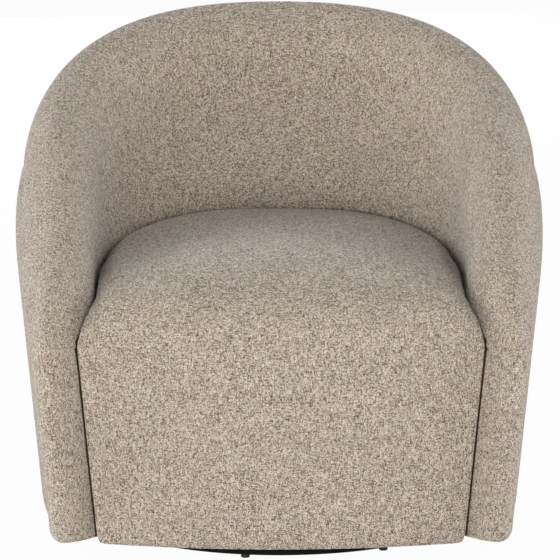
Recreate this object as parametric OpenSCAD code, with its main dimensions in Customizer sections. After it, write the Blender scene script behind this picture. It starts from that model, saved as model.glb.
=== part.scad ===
// Barrel-back swivel rocker: a padded shell and tight seat on a timber frame, carried by a
// sprung rocker mechanism that turns on a ball race over a round floor ring.
// Origin: on the floor, on the swivel axis. +Z is up and the chair faces -Y.

/* [Barrel shell] */
// Height of the rim at the middle of the back
rim_h = 738; // [690:1:780]
// Height at which the rim ends at the arm fronts
arm_end_h = 353; // [330:1:380]
// Half width of the shell along the crest of its rim
crest_half_w = 326; // [300:1:350]
// From the swivel axis back to the crest of the rim
crest_back = 305; // [290:1:330]
// From the swivel axis forward to the arm fronts
arm_front = 363; // [350:1:375]
// From the swivel axis forward to where the arm fronts start to round off
arm_round_start = 250; // [230:1:265]
// How far the arm fronts flare outward from the crest line
arm_flare = 24; // [10:1:30]
// Height of the padded roll along the rim
roll_h = 96; // [80:1:110]
// Crest to the outer face at the widest point of the sides
out_side = 68; // [60:1:75]
// Crest to the outer face at the middle of the back
out_back = 75; // [68:1:85]
// Crest to the outer face beside the arm fronts
out_front = 49; // [44:1:56]
// Crest to the outer face just below the roll
out_top = 56.5; // [50:0.5:60]
// Crest to the inner face of the arms
in_arm = 50; // [46:1:56]
// Crest to the inner face just below the roll of the back
in_top = 54; // [48:1:60]
// Crest to the inner face at the back seam of the seat
in_back = 118; // [100:1:130]
// Height of the widest part of the shell
belly_z = 433; // [410:1:450]
// Thickness of the padded outside skin
skin_t = 14; // [8:1:18]
// Height of the fabric hem above the floor
hem_z = 46; // [40:1:49]

/* [Seat] */
// From the swivel axis forward to the middle of the seat front
seat_front = 380; // [370:1:390]
// Height of the crown of the seat
seat_crown_z = 455; // [443:1:473]
// Height of the back seam of the seat
back_seam_z = 438; // [428:1:448]
// Height of the seat seam along the arms
seat_side_z = 379.5; // [375:0.5:387]
// Height of the rounded front edge at the middle
front_roll_h = 107; // [95:1:112]
// Depth of the rounded front edge at the middle
front_roll_l = 200; // [160:1:220]
// Height of the hem of the seat front above the floor
seat_hem_z = 39; // [36:1:46]
// Depth of the rounded edge along the arms and the back
side_roll = 34; // [26:1:40]
// Radius of the bow of the seat front in plan
front_bow_r = 903; // [800:1:1200]
// Gap between the seat and the shell
seat_gap = 1.5; // [1:0.1:3]
// Thickness of the seat cover with its wadding
cover_t = 14; // [8:1:18]

/* [Timber frame] */
// Thickness of the upright rails
rail_t = 22; // [18:1:26]
// Thickness of the base board and the deck board
board_t = 18; // [15:1:20]
// Underside of the base board above the floor
board_z = 52; // [51:1:56]
// Top of the deck board above the floor
deck_z = 338; // [331:1:341]
// Crest of the arms in to the ends of the front rail
front_rail_in = 25; // [24:1:31]
// Tip of the arm fronts back to the front rail
front_rail_back = 51; // [47:1:55]
// Crest of the sides in to the ends of the rear rail
rear_rail_in = 88; // [86:1:111]
// Crest of the back forward to the rear rail
rear_rail_fore = 79; // [75:1:83]
// Width of the two rails that carry the mechanism
mount_rail_w = 44; // [36:1:46]
// Height of the two rails that carry the mechanism
mount_rail_h = 40; // [30:1:60]
// Thickness of the studs and the top rail
stud_t = 18; // [14:1:19]
// Width of the studs
stud_w = 44; // [36:1:50]
// Height of the top rail
top_rail_h = 23; // [18:1:26]

/* [Seat and back suspension] */
// Radius of the sinuous spring wire
wire_r = 1.9; // [1.5:0.1:2.2]
// Radius of each loop of the sinuous springs
loop_r = 20; // [16:1:22]
// Width of the sinuous springs between wire centres
loop_w = 60; // [50:1:70]
// Distance between neighbouring sinuous springs
spring_row = 92; // [80:1:95]
// Width of the back webbing
web_w = 50; // [40:1:60]
// Thickness of the back webbing
web_t = 2; // [1.5:0.1:3]

/* [Rocker mechanism] */
// Height of the rocking axis above the floor
pivot_z = 84; // [82:1:86]
// Largest rocking angle each way
rock_angle = 5; // [3:0.5:5]
// Thickness of the pressed steel
steel_t = 4; // [3:0.5:4]
// Half length of the rocker rails
rocker_half_l = 203.5; // [200:0.5:206]
// Distance of the spring centres from the swivel axis, sideways
spring_x = 100; // [96:1:101]
// Distance of the spring centres from the swivel axis, fore and aft
spring_y = 150; // [140:1:154]
// Mean radius of the coil springs
coil_r = 17; // [15:1:18]
// Radius of the coil spring wire
coil_wire_r = 2.8; // [2:0.1:3]
// Underside of the rocker rail flange above the floor
rocker_z = 116; // [114:1:118]
// Outer face of the cradle cheeks from the middle
cheek_x = 130; // [128:1:134]
// Radius of the pivot bolts
pivot_r = 6; // [5:0.5:7]

/* [Swivel base] */
// Outer radius of the floor ring
ring_r = 283; // [260:1:286]
// Width of the floor ring
ring_w = 24; // [20:1:30]
// Height of the floor ring
ring_h = 14; // [10:1:15]
// Height of the glides under the ring
glide_h = 6; // [5:0.5:7]
// Number of glides
glide_n = 8; // [6:1:10]
// Width of the cross bars
bar_w = 40; // [30:1:44]
// Thickness of the cross bars
bar_t = 6; // [4:1:7]
// Radius of the swivel plates
plate_r = 95; // [92:1:98]
// Thickness of the swivel plates
plate_t = 4; // [3.5:0.5:4]
// Radius of the ball track
track_r = 80; // [76:1:84]
// Radius of the bearing balls
ball_r = 3.5; // [3.2:0.1:3.6]
// Number of bearing balls
ball_n = 16; // [12:1:20]
// Radius of the king pin
king_r = 8; // [7:0.5:10]

/* [Hidden] */
$fn = 64;
// Clearance between parts that move past each other
run_gap = 0.3;
// Radial clearance of a pin in its running bore
bore_gap = 0.05;
// Overrun of cuts
over = 1;
// Smallest upright of the shell beside the cavity
tiny = 0.3;

// Colours
steel = "#26272a";
zinc = "#a9adb2";
timber = "#c9a876";
fabric = "#a4988b";
rubber = "#1b1b1c";
foam = "#e8dcae";
cambric = "#1e1e20";
jute = "#9a7f55";

// Places of the rails
front_rail_half = crest_half_w - front_rail_in;
front_rail_y = arm_front - front_rail_back;
rear_rail_half = crest_half_w - rear_rail_in;
rear_rail_y = crest_back - rear_rail_fore;

// Heights of the base
ring_z = glide_h;
ring_top = ring_z + ring_h;
plate_gap = 4;
track_z = ring_top + plate_t + plate_gap / 2;
upper_plate_z = ring_top + plate_t + plate_gap;
cradle_z = upper_plate_z + plate_t;
flange_z = cradle_z + steel_t;
seat_low_z = flange_z + steel_t;

// Shape of the shell: how the rim falls, how the roll and the arm fronts round off
rim_fall_share = 1.29;
rim_round_share = 1.24;
roll_share = 1.85;
cap_in_share = 1.6;
cap_out_share = 2;
back_lean_share = 1.2;
lean_reach_share = 0.85;
// Inward lean of the shell per unit of height below its belly, and where it starts
lean_share = 0.098;
lean_soft = 40;
lean_run = 70;
// Share of the back's slope over which it eases in below the roll
ease_share = 0.35;
belly_top = belly_z + lean_soft;
arm_lean_end = 100;
pad_share = 0.62;
roll_skin = 15;
skin_slant = 4;
cavity_drop = 62;
split_rise = 10;
split_min = deck_z + split_rise;
column_y = front_rail_y + tiny;

function rim_at(y) =
    let (t = (crest_back - y) / (crest_back + arm_front))
    arm_end_h + (rim_h - arm_end_h) * pow(max(0, 1 - pow(t, rim_fall_share)), 1 / rim_round_share);
function round_off(t, n) = pow(max(0, 1 - pow(max(0, t), n)), 1 / n);
// Stations run from the middle of the back, 0, past the side, 1, and the start of the arm
// front, 2, to its tip, 3; negative ones are on the left
function cap_t(v) = sin(90 * max(0, abs(v) - 2));
function crest(v) = let (a = abs(v))
    a <= 1 ? [crest_half_w * sin(90 * a), crest_back * cos(90 * a)]
    : a <= 2 ? [crest_half_w, -arm_round_start * (a - 1)]
    : [crest_half_w + arm_flare * pow(cap_t(a), 2),
       -arm_round_start - (arm_front - arm_round_start) * cap_t(a)];
function outward(v) = let (a = 90 * min(1, abs(v)), n = [sin(a) / crest_half_w, cos(a) / crest_back])
    n / norm(n);
function place(v, r, z) = let (c = crest(v), n = outward(v))
    [(v < 0 ? -1 : 1) * (c[0] + n[0] * r), c[1] + n[1] * r, z];
function rim_z(v) = rim_at(crest(v)[1]);
function shoulder_z(v) = rim_z(v) - roll_h;
function in_low(v) = let (a = abs(v),
        s = a <= 1 ? lean_reach_share * a
            : min(1, lean_reach_share + (1 - lean_reach_share) * arm_round_start * (a - 1) / arm_lean_end))
    in_arm + (in_back - in_arm) * pow(max(0, cos(90 * s)), back_lean_share);
function out_low(v) = let (a = abs(v))
    a <= 1 ? out_side + (out_back - out_side) * pow(cos(90 * a), 2)
    : out_side - (out_side - out_front) * pow(min(1, a - 1), 2);
function lean(z) = let (d = belly_top - z)
    d <= 0 ? 0 : d < 2 * lean_soft ? lean_share * d * d / (4 * lean_soft) : lean_share * (d - lean_soft);
function eased(w) = (w < ease_share ? w * w / (2 * ease_share) : w - ease_share / 2) / (1 - ease_share / 2);
// Distance from the crest line out to the outer face, and in to the inner face, at a height
function out_r(v, z) = let (zs = shoulder_z(v), low = out_low(v), top = min(low, out_top),
        w = min(1, (zs - z) / max(lean_run, zs - belly_top)))
    cap_out(v) * (z > zs ? top * round_off((z - zs) / roll_h, roll_share)
                  : top + (low - top) * w * (2 - w)) - lean(z);
// The same without the roll, for the seat that stands beside it
function in_flat(v, z) = let (zs = shoulder_z(v), low = in_low(v), top = min(low, in_top),
        w = min(1, max(0, zs - z) / max(lean_run, zs - back_seam_z)))
    cap_in(v) * (top + (low - top) * eased(w)) + lean(z);
function in_r(v, z) = let (zs = shoulder_z(v), top = min(in_low(v), in_top))
    z > zs ? cap_in(v) * top * round_off((z - zs) / roll_h, roll_share) + lean(z) : in_flat(v, z);
function cap_in(v) = round_off(cap_t(v), cap_in_share);
function cap_out(v) = round_off(cap_t(v), cap_out_share);

// Stations of the shell, and those of the arm fronts
arc_n = 13;
side_n = 6;
cap_n = 6;
tip_v = 2.95;
function cap_v(y) = 2 + asin((y - arm_round_start) / (arm_front - arm_round_start)) / 90;
column_v = cap_v(column_y);
column_start_v = cap_v(column_y + 2 * tiny);
half_stations = concat([for (i = [0:arc_n]) i / arc_n], [for (i = [1:side_n]) 1 + i / side_n],
                       [for (i = [1:2]) 2 + (column_v - 2) * i / 2]);
column_stations = [for (i = [0:cap_n]) column_start_v + (tip_v - column_start_v) * i / cap_n];
function reversed(list) = [for (i = [len(list) - 1:-1:0]) list[i]];
function mirrored(list) = concat([for (v = reversed(list)) if (v > 0) -v], list);

// One closed loft through rings of equal length, with triangles only; the end rings are
// closed by ladders that start at the point with the given number
module loft(rings, ladder = 0) {
    k = len(rings);
    m = len(rings[0]);
    walls = [for (i = [0:k - 2], j = [0:m - 1]) let (a = i * m + j, b = i * m + (j + 1) % m)
             each 2 * i < k - 1 ? [[a, b + m, b], [a, a + m, b + m]]
                                : [[a, a + m, b], [a + m, b + m, b]]];
    function rung(j) = (ladder + j + 2 * m) % m;
    front = [for (j = [0:floor(m / 2) - 1])
             each concat(j == 0 ? [] : [[rung(-j), rung(j), rung(j + 1)]],
                         j == floor(m / 2) - 1 && m % 2 == 0 ? []
                         : [[rung(-j), rung(j + 1), rung(-j - 1)]])];
    base = (k - 1) * m;
    back = [for (f = front) [f[2] + base, f[1] + base, f[0] + base]];
    polyhedron([for (r = rings) each r], concat(walls, front, back));
}

// One closed loft round a loop of columns between a top point and a bottom point; both halves
// get mirrored triangles
module dome(columns, top, bottom, outward_first = false) {
    k = len(columns);
    m = len(columns[0]);
    walls = [for (i = [0:k - 1], j = [0:m - 2])
             let (a = i * m + j, b = ((i + 1) % k) * m + j,
                  left = columns[i][0][0] + columns[(i + 1) % k][0][0] < 0)
             each left == outward_first ? [[a, a + 1, b + 1], [a, b + 1, b]]
                                        : [[a, a + 1, b], [a + 1, b + 1, b]]];
    caps = [for (i = [0:k - 1]) let (a = i * m, b = ((i + 1) % k) * m)
            each [[k * m, a, b], [k * m + 1, b + m - 1, a + m - 1]]];
    polyhedron(concat([for (c = columns) each c], [top, bottom]), concat(walls, caps));
}

// Rolled rim, inner arms and back, and the padded arm fronts, as one upholstered form
roll_steps = 5;
inner_steps = 4;
function split_z(v) = max(shoulder_z(v), split_min);
function roll_points(v, z0) = let (zs = shoulder_z(v), low = min(out_low(v), out_top),
        a0 = asin(pow(max(0, (z0 - zs) / roll_h), roll_share / 2)))
    [for (i = [-roll_steps:roll_steps]) let (a = i == 0 ? 90 : a0 + (90 - a0) * (1 - abs(i) / roll_steps),
            z = zs + roll_h * pow(sin(a), 2 / roll_share))
     i == 0 ? place(v, 0, rim_z(v)) : place(v, i < 0 ? out_r(v, z) : -in_r(v, z), z)];
function rim_section(v) = let (z0 = split_z(v) + 2 * run_gap, bottom = deck_z + run_gap,
        ceiling = rim_z(v) - cavity_drop, mid = (bottom + ceiling) / 2)
    concat(roll_points(v, z0),
           [for (i = [1:inner_steps]) let (z = z0 + (bottom - z0) * i / inner_steps)
               place(v, -in_r(v, z), z)],
           [for (z = [bottom, mid, ceiling]) place(v, -in_r(v, z) * (1 - pad_share), z)],
           [for (q = [[roll_skin + skin_slant, ceiling], [roll_skin, z0]])
            place(v, out_r(v, z0) - q[0] * cap_out(v), q[1])]);
function column_section(v) = let (z0 = shoulder_z(v) + 2 * run_gap)
    concat(roll_points(v, z0),
           [for (i = [1:inner_steps]) let (z = z0 + (hem_z - z0) * i / inner_steps) place(v, -in_r(v, z), z)],
           [place(v, (out_r(v, hem_z) - in_r(v, hem_z)) / 2, hem_z + 2 * tiny)],
           [for (i = [inner_steps:-1:1]) let (z = z0 + (hem_z - z0) * i / inner_steps)
               place(v, out_r(v, z), z)]);
module inside_cover() {
    color(fabric) loft(concat([for (v = reversed(column_stations)) column_section(-v)],
                              [for (v = mirrored(half_stations)) rim_section(v)],
                              [for (v = column_stations) column_section(v)]), roll_steps);
}

// Outside skin of the back and the arms, from the hem to the roll
skin_shares = [0, 0.3, 0.6, 0.85];
function skin_levels(v) = let (top = split_z(v), belly = min(belly_top, top - lean_soft / 2))
    concat([for (s = skin_shares) hem_z + (belly - hem_z) * s], [belly, (belly + top) / 2, top]);
function skin_section(v) = let (levels = skin_levels(v))
    concat([for (z = levels) place(v, out_r(v, z), z)],
           [for (z = reversed(levels)) place(v, out_r(v, z) - skin_t, z)]);
module outside_cover() {
    color(fabric) loft([for (v = mirrored(half_stations)) skin_section(v)], len(skin_levels(0)) - 1);
}

// Seat: outline that follows the shell, with a bowed front and rounded front edge
seat_centre_y = -60;
seat_centre = [0, seat_centre_y];
seat_side_rise = 32;
seat_back_rise = 16;
seat_back_z = back_seam_z - seat_back_rise;
// Height and depth of the rounded front edge beside the arm fronts
corner_drop = 65;
corner_fall = 95;
// Reach of the close points of a column, beside the front corners
corner_reach = 137;
back_end_share = 0.3;
side_start_share = 1 - seat_centre_y / arm_round_start;
corner_r = 9;
blend_start = 200;
seat_v = column_stations[1];
corner_y = -crest(seat_v)[1];
front_n = 8;
corner_steps = [30, 60];
function bow_y(x) = front_bow_r - seat_front - sqrt(pow(front_bow_r, 2) - x * x);
// Outline points: [kind, value], where kind 0 follows the shell at a station, kind 1 is the front
// at a share of its half width, and kind 2 is a front corner at an angle
seat_half = concat([for (i = [0:arc_n]) i / arc_n], [for (i = [1:side_n]) 1 + i / side_n],
                   [for (i = [1:2]) 2 + (column_v - 2) * i / 2], [column_stations[0], seat_v]);
seat_outline = concat([for (v = mirrored(seat_half)) [0, v]],
                      [for (a = corner_steps) [2, a]],
                      [for (i = [0:2 * front_n]) [1, 1 - i / front_n]],
                      [for (a = reversed(corner_steps)) [2, -a]]);
function seat_side_x(z) = place(seat_v, -in_flat(seat_v, z) - seat_gap, z)[0];
function seat_edge(p, z) = let (x = seat_side_x(z), yc = bow_y(x - corner_r) + corner_r)
    p[0] == 0 ? let (q = place(p[1], -in_flat(p[1], z) - seat_gap, z)) [q[0], q[1]]
    : p[0] == 2 ? [sign(p[1]) * (x - corner_r + corner_r * cos(abs(p[1]))), yc - corner_r * sin(abs(p[1]))]
    : [p[1] * (x - corner_r), bow_y(p[1] * (x - corner_r))];
function smooth(t) = let (u = min(1, max(0, t))) u * u * (3 - 2 * u);
function frontness(p) = p[0] == 0 ? smooth((-crest(p[1])[1] - blend_start) / (corner_y - blend_start)) : 1;
function sideness(p) = smooth((abs(p[1]) - back_end_share) / (side_start_share - back_end_share));
function edge_roll(p) = p[0] == 1 ? front_roll_l + (corner_reach - front_roll_l) * p[1] * p[1]
    : side_roll + (corner_reach - side_roll) * frontness(p);
// Half width of the seat between the arms, where its top stands at the height of the side seam
function station_at(y) = -y < arm_round_start ? 1 - y / arm_round_start : cap_v(min(-y, corner_y));
function side_w(y) = let (v = station_at(y)) place(v, -in_flat(v, seat_side_z) - seat_gap, seat_side_z)[0];
corner_x = seat_side_x(seat_side_z);
// Drop of a rounded edge of given depth and height, at a distance in from it
function round_drop(d, depth, height) = height * (1 - sqrt(1 - pow(min(1, max(0, 1 - d / depth)), 2)));
function front_drop(q) = let (k = pow(min(1, abs(q[0]) / corner_x), 2))
    round_drop(q[1] - bow_y(q[0]), front_roll_l + (corner_fall - front_roll_l) * k,
               front_roll_h + (corner_drop - front_roll_h) * k);
// Height of the seat top at a share of the way from the edge to the middle: one smooth
// surface, with a slow crown, an edge rounded beside the shell and a deeper rounded front
function top_z(p, t) = let (e = seat_edge(p, seat_side_z), q = seat_centre + (e - seat_centre) * (1 - t),
        rear = e[1] >= seat_centre_y, k = rear ? sideness(p) : 1, w = rear ? 1 : side_w(q[1]),
        rise = seat_back_rise + (seat_side_rise - seat_back_rise) * k,
        crown = seat_crown_z - rise - seat_back_z - (seat_side_z - seat_back_z) * k,
        d = rear ? t * (outward(p[1]) * [abs(e[0]), e[1] - seat_centre_y]) : w - abs(q[0]))
    seat_crown_z - crown * pow(rear ? 1 - t : q[0] / w, 2) - round_drop(d, side_roll, rise) - front_drop(q);
function edge_z(p) = top_z(p, 0);
// Point of the seat top, at a distance in from the edge
function seat_top(p, rho) = let (e = seat_edge(p, edge_z(p)), t = min(1, rho / norm(e - seat_centre)),
        q = seat_centre + (e - seat_centre) * (1 - t)) [q[0], q[1], top_z(p, t)];
function in_front(p) = p[0] != 0 || abs(p[1]) > column_v;
function beside_rail(p) = in_front(p) || abs(p[1]) > column_v - (column_v - 2) / 4;
function rail_slope(z) = let (a = seat_edge([0, column_start_v], z), b = seat_edge([0, seat_v], z))
    (b[0] - a[0]) / (a[1] - b[1]);
// Point inside the edge; the columns beside the rail slide along the edge until they clear it
function inset(p, z, depth) = let (e = seat_edge(p, z), l = norm(e - seat_centre),
        q = seat_centre + (e - seat_centre) * (1 - depth / l),
        d = beside_rail(p) ? max(0, q[1] + column_y + (in_front(p) ? tiny : 0)) : 0)
    [q[0] + sign(q[0]) * d * rail_slope(z), q[1] - d];
function raised(q, z) = [q[0], q[1], z];
roll_angles = [82, 60, 42, 26, 12, 0];
under_angles = [20, 48, 80];
ring_shares = [0.36, 0.72];
function seat_reach(p) = norm(seat_edge(p, edge_z(p)) - seat_centre);
function seat_bottom(p) = in_front(p) ? seat_hem_z : deck_z + run_gap;
// Where the underside of the cover, or the top of the foam, stands below the top surface
function under_top(p, depth) = concat(
    [for (a = under_angles) let (rho = depth + (edge_roll(p) - depth) * (1 - cos(a)),
        q = seat_top(p, rho)) [q[0], q[1], max(edge_z(p), q[2] - depth)]],
    [let (q = seat_top(p, seat_reach(p) * (1 - ring_shares[0]))) [q[0], q[1], q[2] - depth]]);
function edge_floor(p) = max(edge_z(p) - cover_t, foam_z + tiny);
function cover_column(p) = let (low = seat_bottom(p), z = edge_z(p), mid = (low + z) / 2)
    concat([for (s = ring_shares) seat_top(p, (seat_reach(p) - edge_roll(p)) * (1 - s) + edge_roll(p))],
           [for (a = roll_angles) seat_top(p, edge_roll(p) * (1 - cos(a)))],
           [raised(seat_edge(p, mid), mid), raised(seat_edge(p, low), low)],
           [raised(inset(p, low, cover_t), low), raised(inset(p, z, cover_t), edge_floor(p))],
           under_top(p, cover_t));
module seat_cover() {
    columns = [for (p = seat_outline) cover_column(p)];
    color(fabric) dome(columns, [seat_centre[0], seat_centre[1], seat_crown_z],
                       [seat_centre[0], seat_centre[1], seat_crown_z - cover_t]);
}

// Seat foam under the cover, on the sinuous springs
foam_depth = cover_t + 3 * run_gap;
wire_z = deck_z + tiny + 2 * wire_r;
foam_z = wire_z + 2 * wire_r;
function foam_column(p) =
    concat(reversed(under_top(p, foam_depth)),
           [raised(inset(p, edge_z(p), foam_depth), edge_floor(p)),
            raised(inset(p, min(edge_z(p), foam_z), foam_depth), foam_z)]);
module seat_foam() {
    color(foam) dome([for (p = seat_outline) foam_column(p)],
                     [seat_centre[0], seat_centre[1], seat_crown_z - foam_depth],
                     [seat_centre[0], seat_centre[1], foam_z], true);
}

// Foam behind the front of the cover
front_foam_gap = 12;
module front_foam() {
    low = board_z + board_t + run_gap;
    half = seat_side_x(board_top) - cover_t - front_foam_gap;
    arc_c = front_bow_r - seat_front;
    color(foam) difference() {
        translate([-half, -seat_front, low])
            cube([2 * half, seat_front - front_rail_y - run_gap, deck_z - low]);
        difference() {
            translate([-seat_front, -2 * seat_front, low - over])
                cube([2 * seat_front, 2 * seat_front, deck_z]);
            translate([0, arc_c, low - 2 * over])
                cylinder(r = front_bow_r - foam_depth - run_gap, h = deck_z + 4 * over, $fn = 256);
        }
    }
}

// Outline of a board that fills the shell at a height, inset from the outer face
function shell_outline(z, depth, list) = [for (v = mirrored(list)) let (q = place(v, out_r(v, z) - depth, z))
                                          [q[0], q[1]]];
board_stations = concat([for (i = [0:arc_n]) i / arc_n], [for (i = [1:side_n]) 1 + i / side_n],
                        [2 + (column_v - 2) / 2]);
board_gap = skin_t + 2 * run_gap;
well_half_w = 165;
well_half_l = 225;
module base_plan(z, depth) {
    difference() {
        intersection() {
            polygon(shell_outline(z, depth, board_stations));
            translate([-2 * front_rail_half, -front_rail_y]) square(4 * front_rail_half);
        }
        square([2 * well_half_w, 2 * well_half_l], center = true);
    }
}
module base_board() {
    color(timber) translate([0, 0, board_z]) linear_extrude(board_t) base_plan(board_z, board_gap);
}
cambric_t = 1;
cambric_inset = 6;
module dust_cover() {
    color(cambric) translate([0, 0, board_z - cambric_t]) linear_extrude(cambric_t)
        base_plan(board_z, board_gap + cambric_inset);
}

// Deck board that the shell padding stands on and the seat foam dips into
deck_in = 45;
board_top = board_z + board_t;
deck_low = deck_z - board_t;
deck_front = front_rail_y - rail_t - run_gap;
deck_stations = concat([for (i = [0:arc_n]) i / arc_n], [for (i = [1:side_n]) 1 + i / side_n]);
function deck_edge(v) = let (q = place(v, -in_r(v, deck_z) - deck_in, 0)) [q[0], q[1]];
module deck_board() {
    v_end = 2 + (column_v - 2) / 2;
    list = concat(deck_stations, [v_end]);
    outer = shell_outline(deck_low, board_gap, list);
    inner = [for (v = reversed(mirrored(list))) deck_edge(v)];
    color(timber) translate([0, 0, deck_low]) linear_extrude(board_t) intersection() {
        polygon(concat(outer, inner));
        translate([-2 * front_rail_half, -deck_front]) square(4 * front_rail_half);
    }
}

// Rails of the seat box; the side rails close in toward the back
function side_x(y) = front_rail_half
    - (front_rail_half - rear_rail_half) * (y + deck_front) / (deck_front + rear_rail_y);
module upright(points, low, high) {
    translate([0, 0, low]) linear_extrude(high - low) polygon(points);
}
module front_rail() {
    color(timber) translate([-front_rail_half, -front_rail_y, board_top])
        cube([2 * front_rail_half, rail_t, deck_z - board_top]);
}
module rear_rail() {
    y0 = rear_rail_y - rail_t;
    color(timber) upright([[side_x(rear_rail_y) - rail_t, rear_rail_y], [side_x(y0) - rail_t, y0],
                           [rail_t - side_x(y0), y0], [rail_t - side_x(rear_rail_y), rear_rail_y]],
                          mount_z + steel_t, deck_low);
}
module side_rail(side) {
    y0 = -deck_front;
    color(timber) upright([[side * side_x(y0), y0], [side * (side_x(y0) - rail_t), y0],
                           [side * (side_x(rear_rail_y) - rail_t), rear_rail_y],
                           [side * side_x(rear_rail_y), rear_rail_y]], board_top, deck_low);
}
module left_side_rail() { side_rail(-1); }
module right_side_rail() { side_rail(1); }
block_leg = 60;
block_h = 80;
module corner_block(side, y0, dir) {
    x0 = side_x(y0) - rail_t;
    y1 = y0 + dir * block_leg;
    color(timber) upright([[side * x0, y0], [side * (side_x(y1) - rail_t), y1],
        [side * (x0 - block_leg), y0]],
                          deck_low - block_h, deck_low);
}
module corner_blocks() {
    for (side = [-1, 1]) {
        corner_block(side, -front_rail_y + rail_t, 1);
        corner_block(side, rear_rail_y - rail_t, -1);
    }
}
mount_z = rocker_z + steel_t;
module mount_rail(side) {
    y0 = -front_rail_y + rail_t;
    color(timber) difference() {
        translate([side * spring_x - mount_rail_w / 2, y0, mount_z])
            cube([mount_rail_w, rear_rail_y - rail_t - y0, mount_rail_h]);
        for (y = mount_bolt_ys) translate([side * spring_x, y, mount_z - over])
            cylinder(r = bolt_r, h = mount_bolt_l + over + tiny);
    }
}
module left_mount_rail() { mount_rail(-1); }
module right_mount_rail() { mount_rail(1); }

// Studs between the base board and the deck, and between the deck and the top rail
stud_stations = [0, 0.3, 0.62, 0.95, 1.42, 1.86];
rail_in = 2;
stud_in = 3.5;
rail_drop = 1.5;
module stud(v, r0, r1, low, high) {
    c = crest(v);
    n = outward(v);
    side = v < 0 ? -1 : 1;
    turn = side * atan2(n[0], n[1]);
    translate([side * c[0], c[1], low]) rotate(-turn) translate([-stud_w / 2, r0])
        cube([stud_w, r1 - r0, high - low]);
}
module lower_studs() {
    color(timber) for (v = mirrored(stud_stations)) let (r = out_r(v, board_top) - board_gap - stud_in)
        stud(v, r - stud_t, r, board_top, deck_low);
}
function rail_bottom(v) = rim_z(v) - cavity_drop - top_rail_h;
module upper_studs() {
    color(timber) for (v = mirrored(stud_stations)) let (dv = stud_w / 2 / arm_round_start,
            high = min(rail_bottom(v), rail_bottom(abs(v) + dv)) - run_gap)
        stud(v, -rail_in, stud_t - rail_in, deck_z, high);
}
rail_stations = concat([for (i = [0:arc_n]) i / arc_n], [for (i = [1:side_n]) 1 + i / side_n]);
module top_rail() {
    function ring(v) = let (high = rim_z(v) - cavity_drop - rail_drop, low = rail_bottom(v))
        [place(v, stud_t - rail_in, low), place(v, stud_t - rail_in, high), place(v, -rail_in, high),
         place(v, -rail_in, low)];
    color(timber) loft([for (v = mirrored(rail_stations)) ring(v)], 1);
}
web_stations = [-0.66, -0.44, -0.22, 0, 0.22, 0.44, 0.66];
web_tack = 10;
module back_webbing() {
    for (v = web_stations) {
        top_z = rail_bottom(v) + web_tack;
        low = deck_z + tiny;
        r_low = -in_r(v, low) * (1 - pad_share) + 3 * run_gap + web_t;
        r_top = -rail_in - 2 * run_gap - web_w * web_w / 8 / (crest_back - stud_t);
        c = crest(v);
        n = outward(v);
        turn = (v < 0 ? -1 : 1) * atan2(n[0], n[1]);
        color(jute) translate([(v < 0 ? -1 : 1) * c[0], c[1], 0]) rotate([90, 0, 90 - turn])
            translate([0, 0, -web_w / 2]) linear_extrude(web_w)
            polygon([[r_low, low], [r_low - web_t, low], [r_top - web_t, top_z], [r_top, top_z]]);
    }
}

// Sinuous springs, as many as fit between the sides, clipped to the front rail and the deck
side_inner = place(1, -in_flat(1, deck_z) - seat_gap - cover_t, deck_z)[0];
side_springs = floor((side_inner - loop_w / 2) / spring_row);
spring_xs = [for (i = [-side_springs:side_springs]) i * spring_row];
clip_l = 20;
function rear_end(x) = let (q = [for (v = [0:0.02:1.2]) deck_edge(v)],
        ok = [for (p = q) if (p[0] <= abs(x) + loop_w / 2 || p[0] < loop_w) p[1]])
            min(ok) + wire_r + clip_l / 2;
front_end = -front_rail_y + rail_t / 2;
function loops_at(x) = let (n = floor((rear_end(x) - front_end) / (2 * loop_r))) n;
module wire_bar(x0, x1, y) {
    translate([min(x0, x1), y, wire_z]) rotate([0, 90, 0]) cylinder(r = wire_r, h = abs(x1 - x0), $fn = 24);
}
module wire_bend(x, y, side) {
    translate([x, y, wire_z]) rotate(side > 0 ? -90 : 90) rotate_extrude(angle = 180, $fn = 48)
        translate([loop_r, 0]) circle(wire_r, $fn = 24);
}
module sinuous(x) {
    n = loops_at(x);
    reach = loop_w / 2 - loop_r;
    for (i = [0:n]) wire_bar(x - reach - (i == 0 ? loop_r : 0), x + reach, front_end + 2 * loop_r * i);
    for (i = [0:n - 1]) wire_bend(x + (i % 2 == 0 ? reach : -reach), front_end + 2 * loop_r * (i + 0.5),
                                  i % 2 == 0 ? 1 : -1);
}
module seat_springs() {
    color(zinc) for (x = spring_xs) sinuous(x);
}
module spring_clip(x, y) {
    color(zinc) difference() {
        translate([x - clip_l / 2, y - clip_l / 4, deck_z])
            cube([clip_l, clip_l / 2, foam_z - tiny - deck_z]);
        translate([x - clip_l, y, wire_z]) rotate([0, 90, 0])
            cylinder(r = wire_r + bore_gap, h = 2 * clip_l, $fn = 24);
    }
}
module spring_clips() {
    for (x = spring_xs) {
        spring_clip(x, front_end);
        spring_clip(x, front_end + 2 * loop_r * loops_at(x));
    }
}

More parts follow.
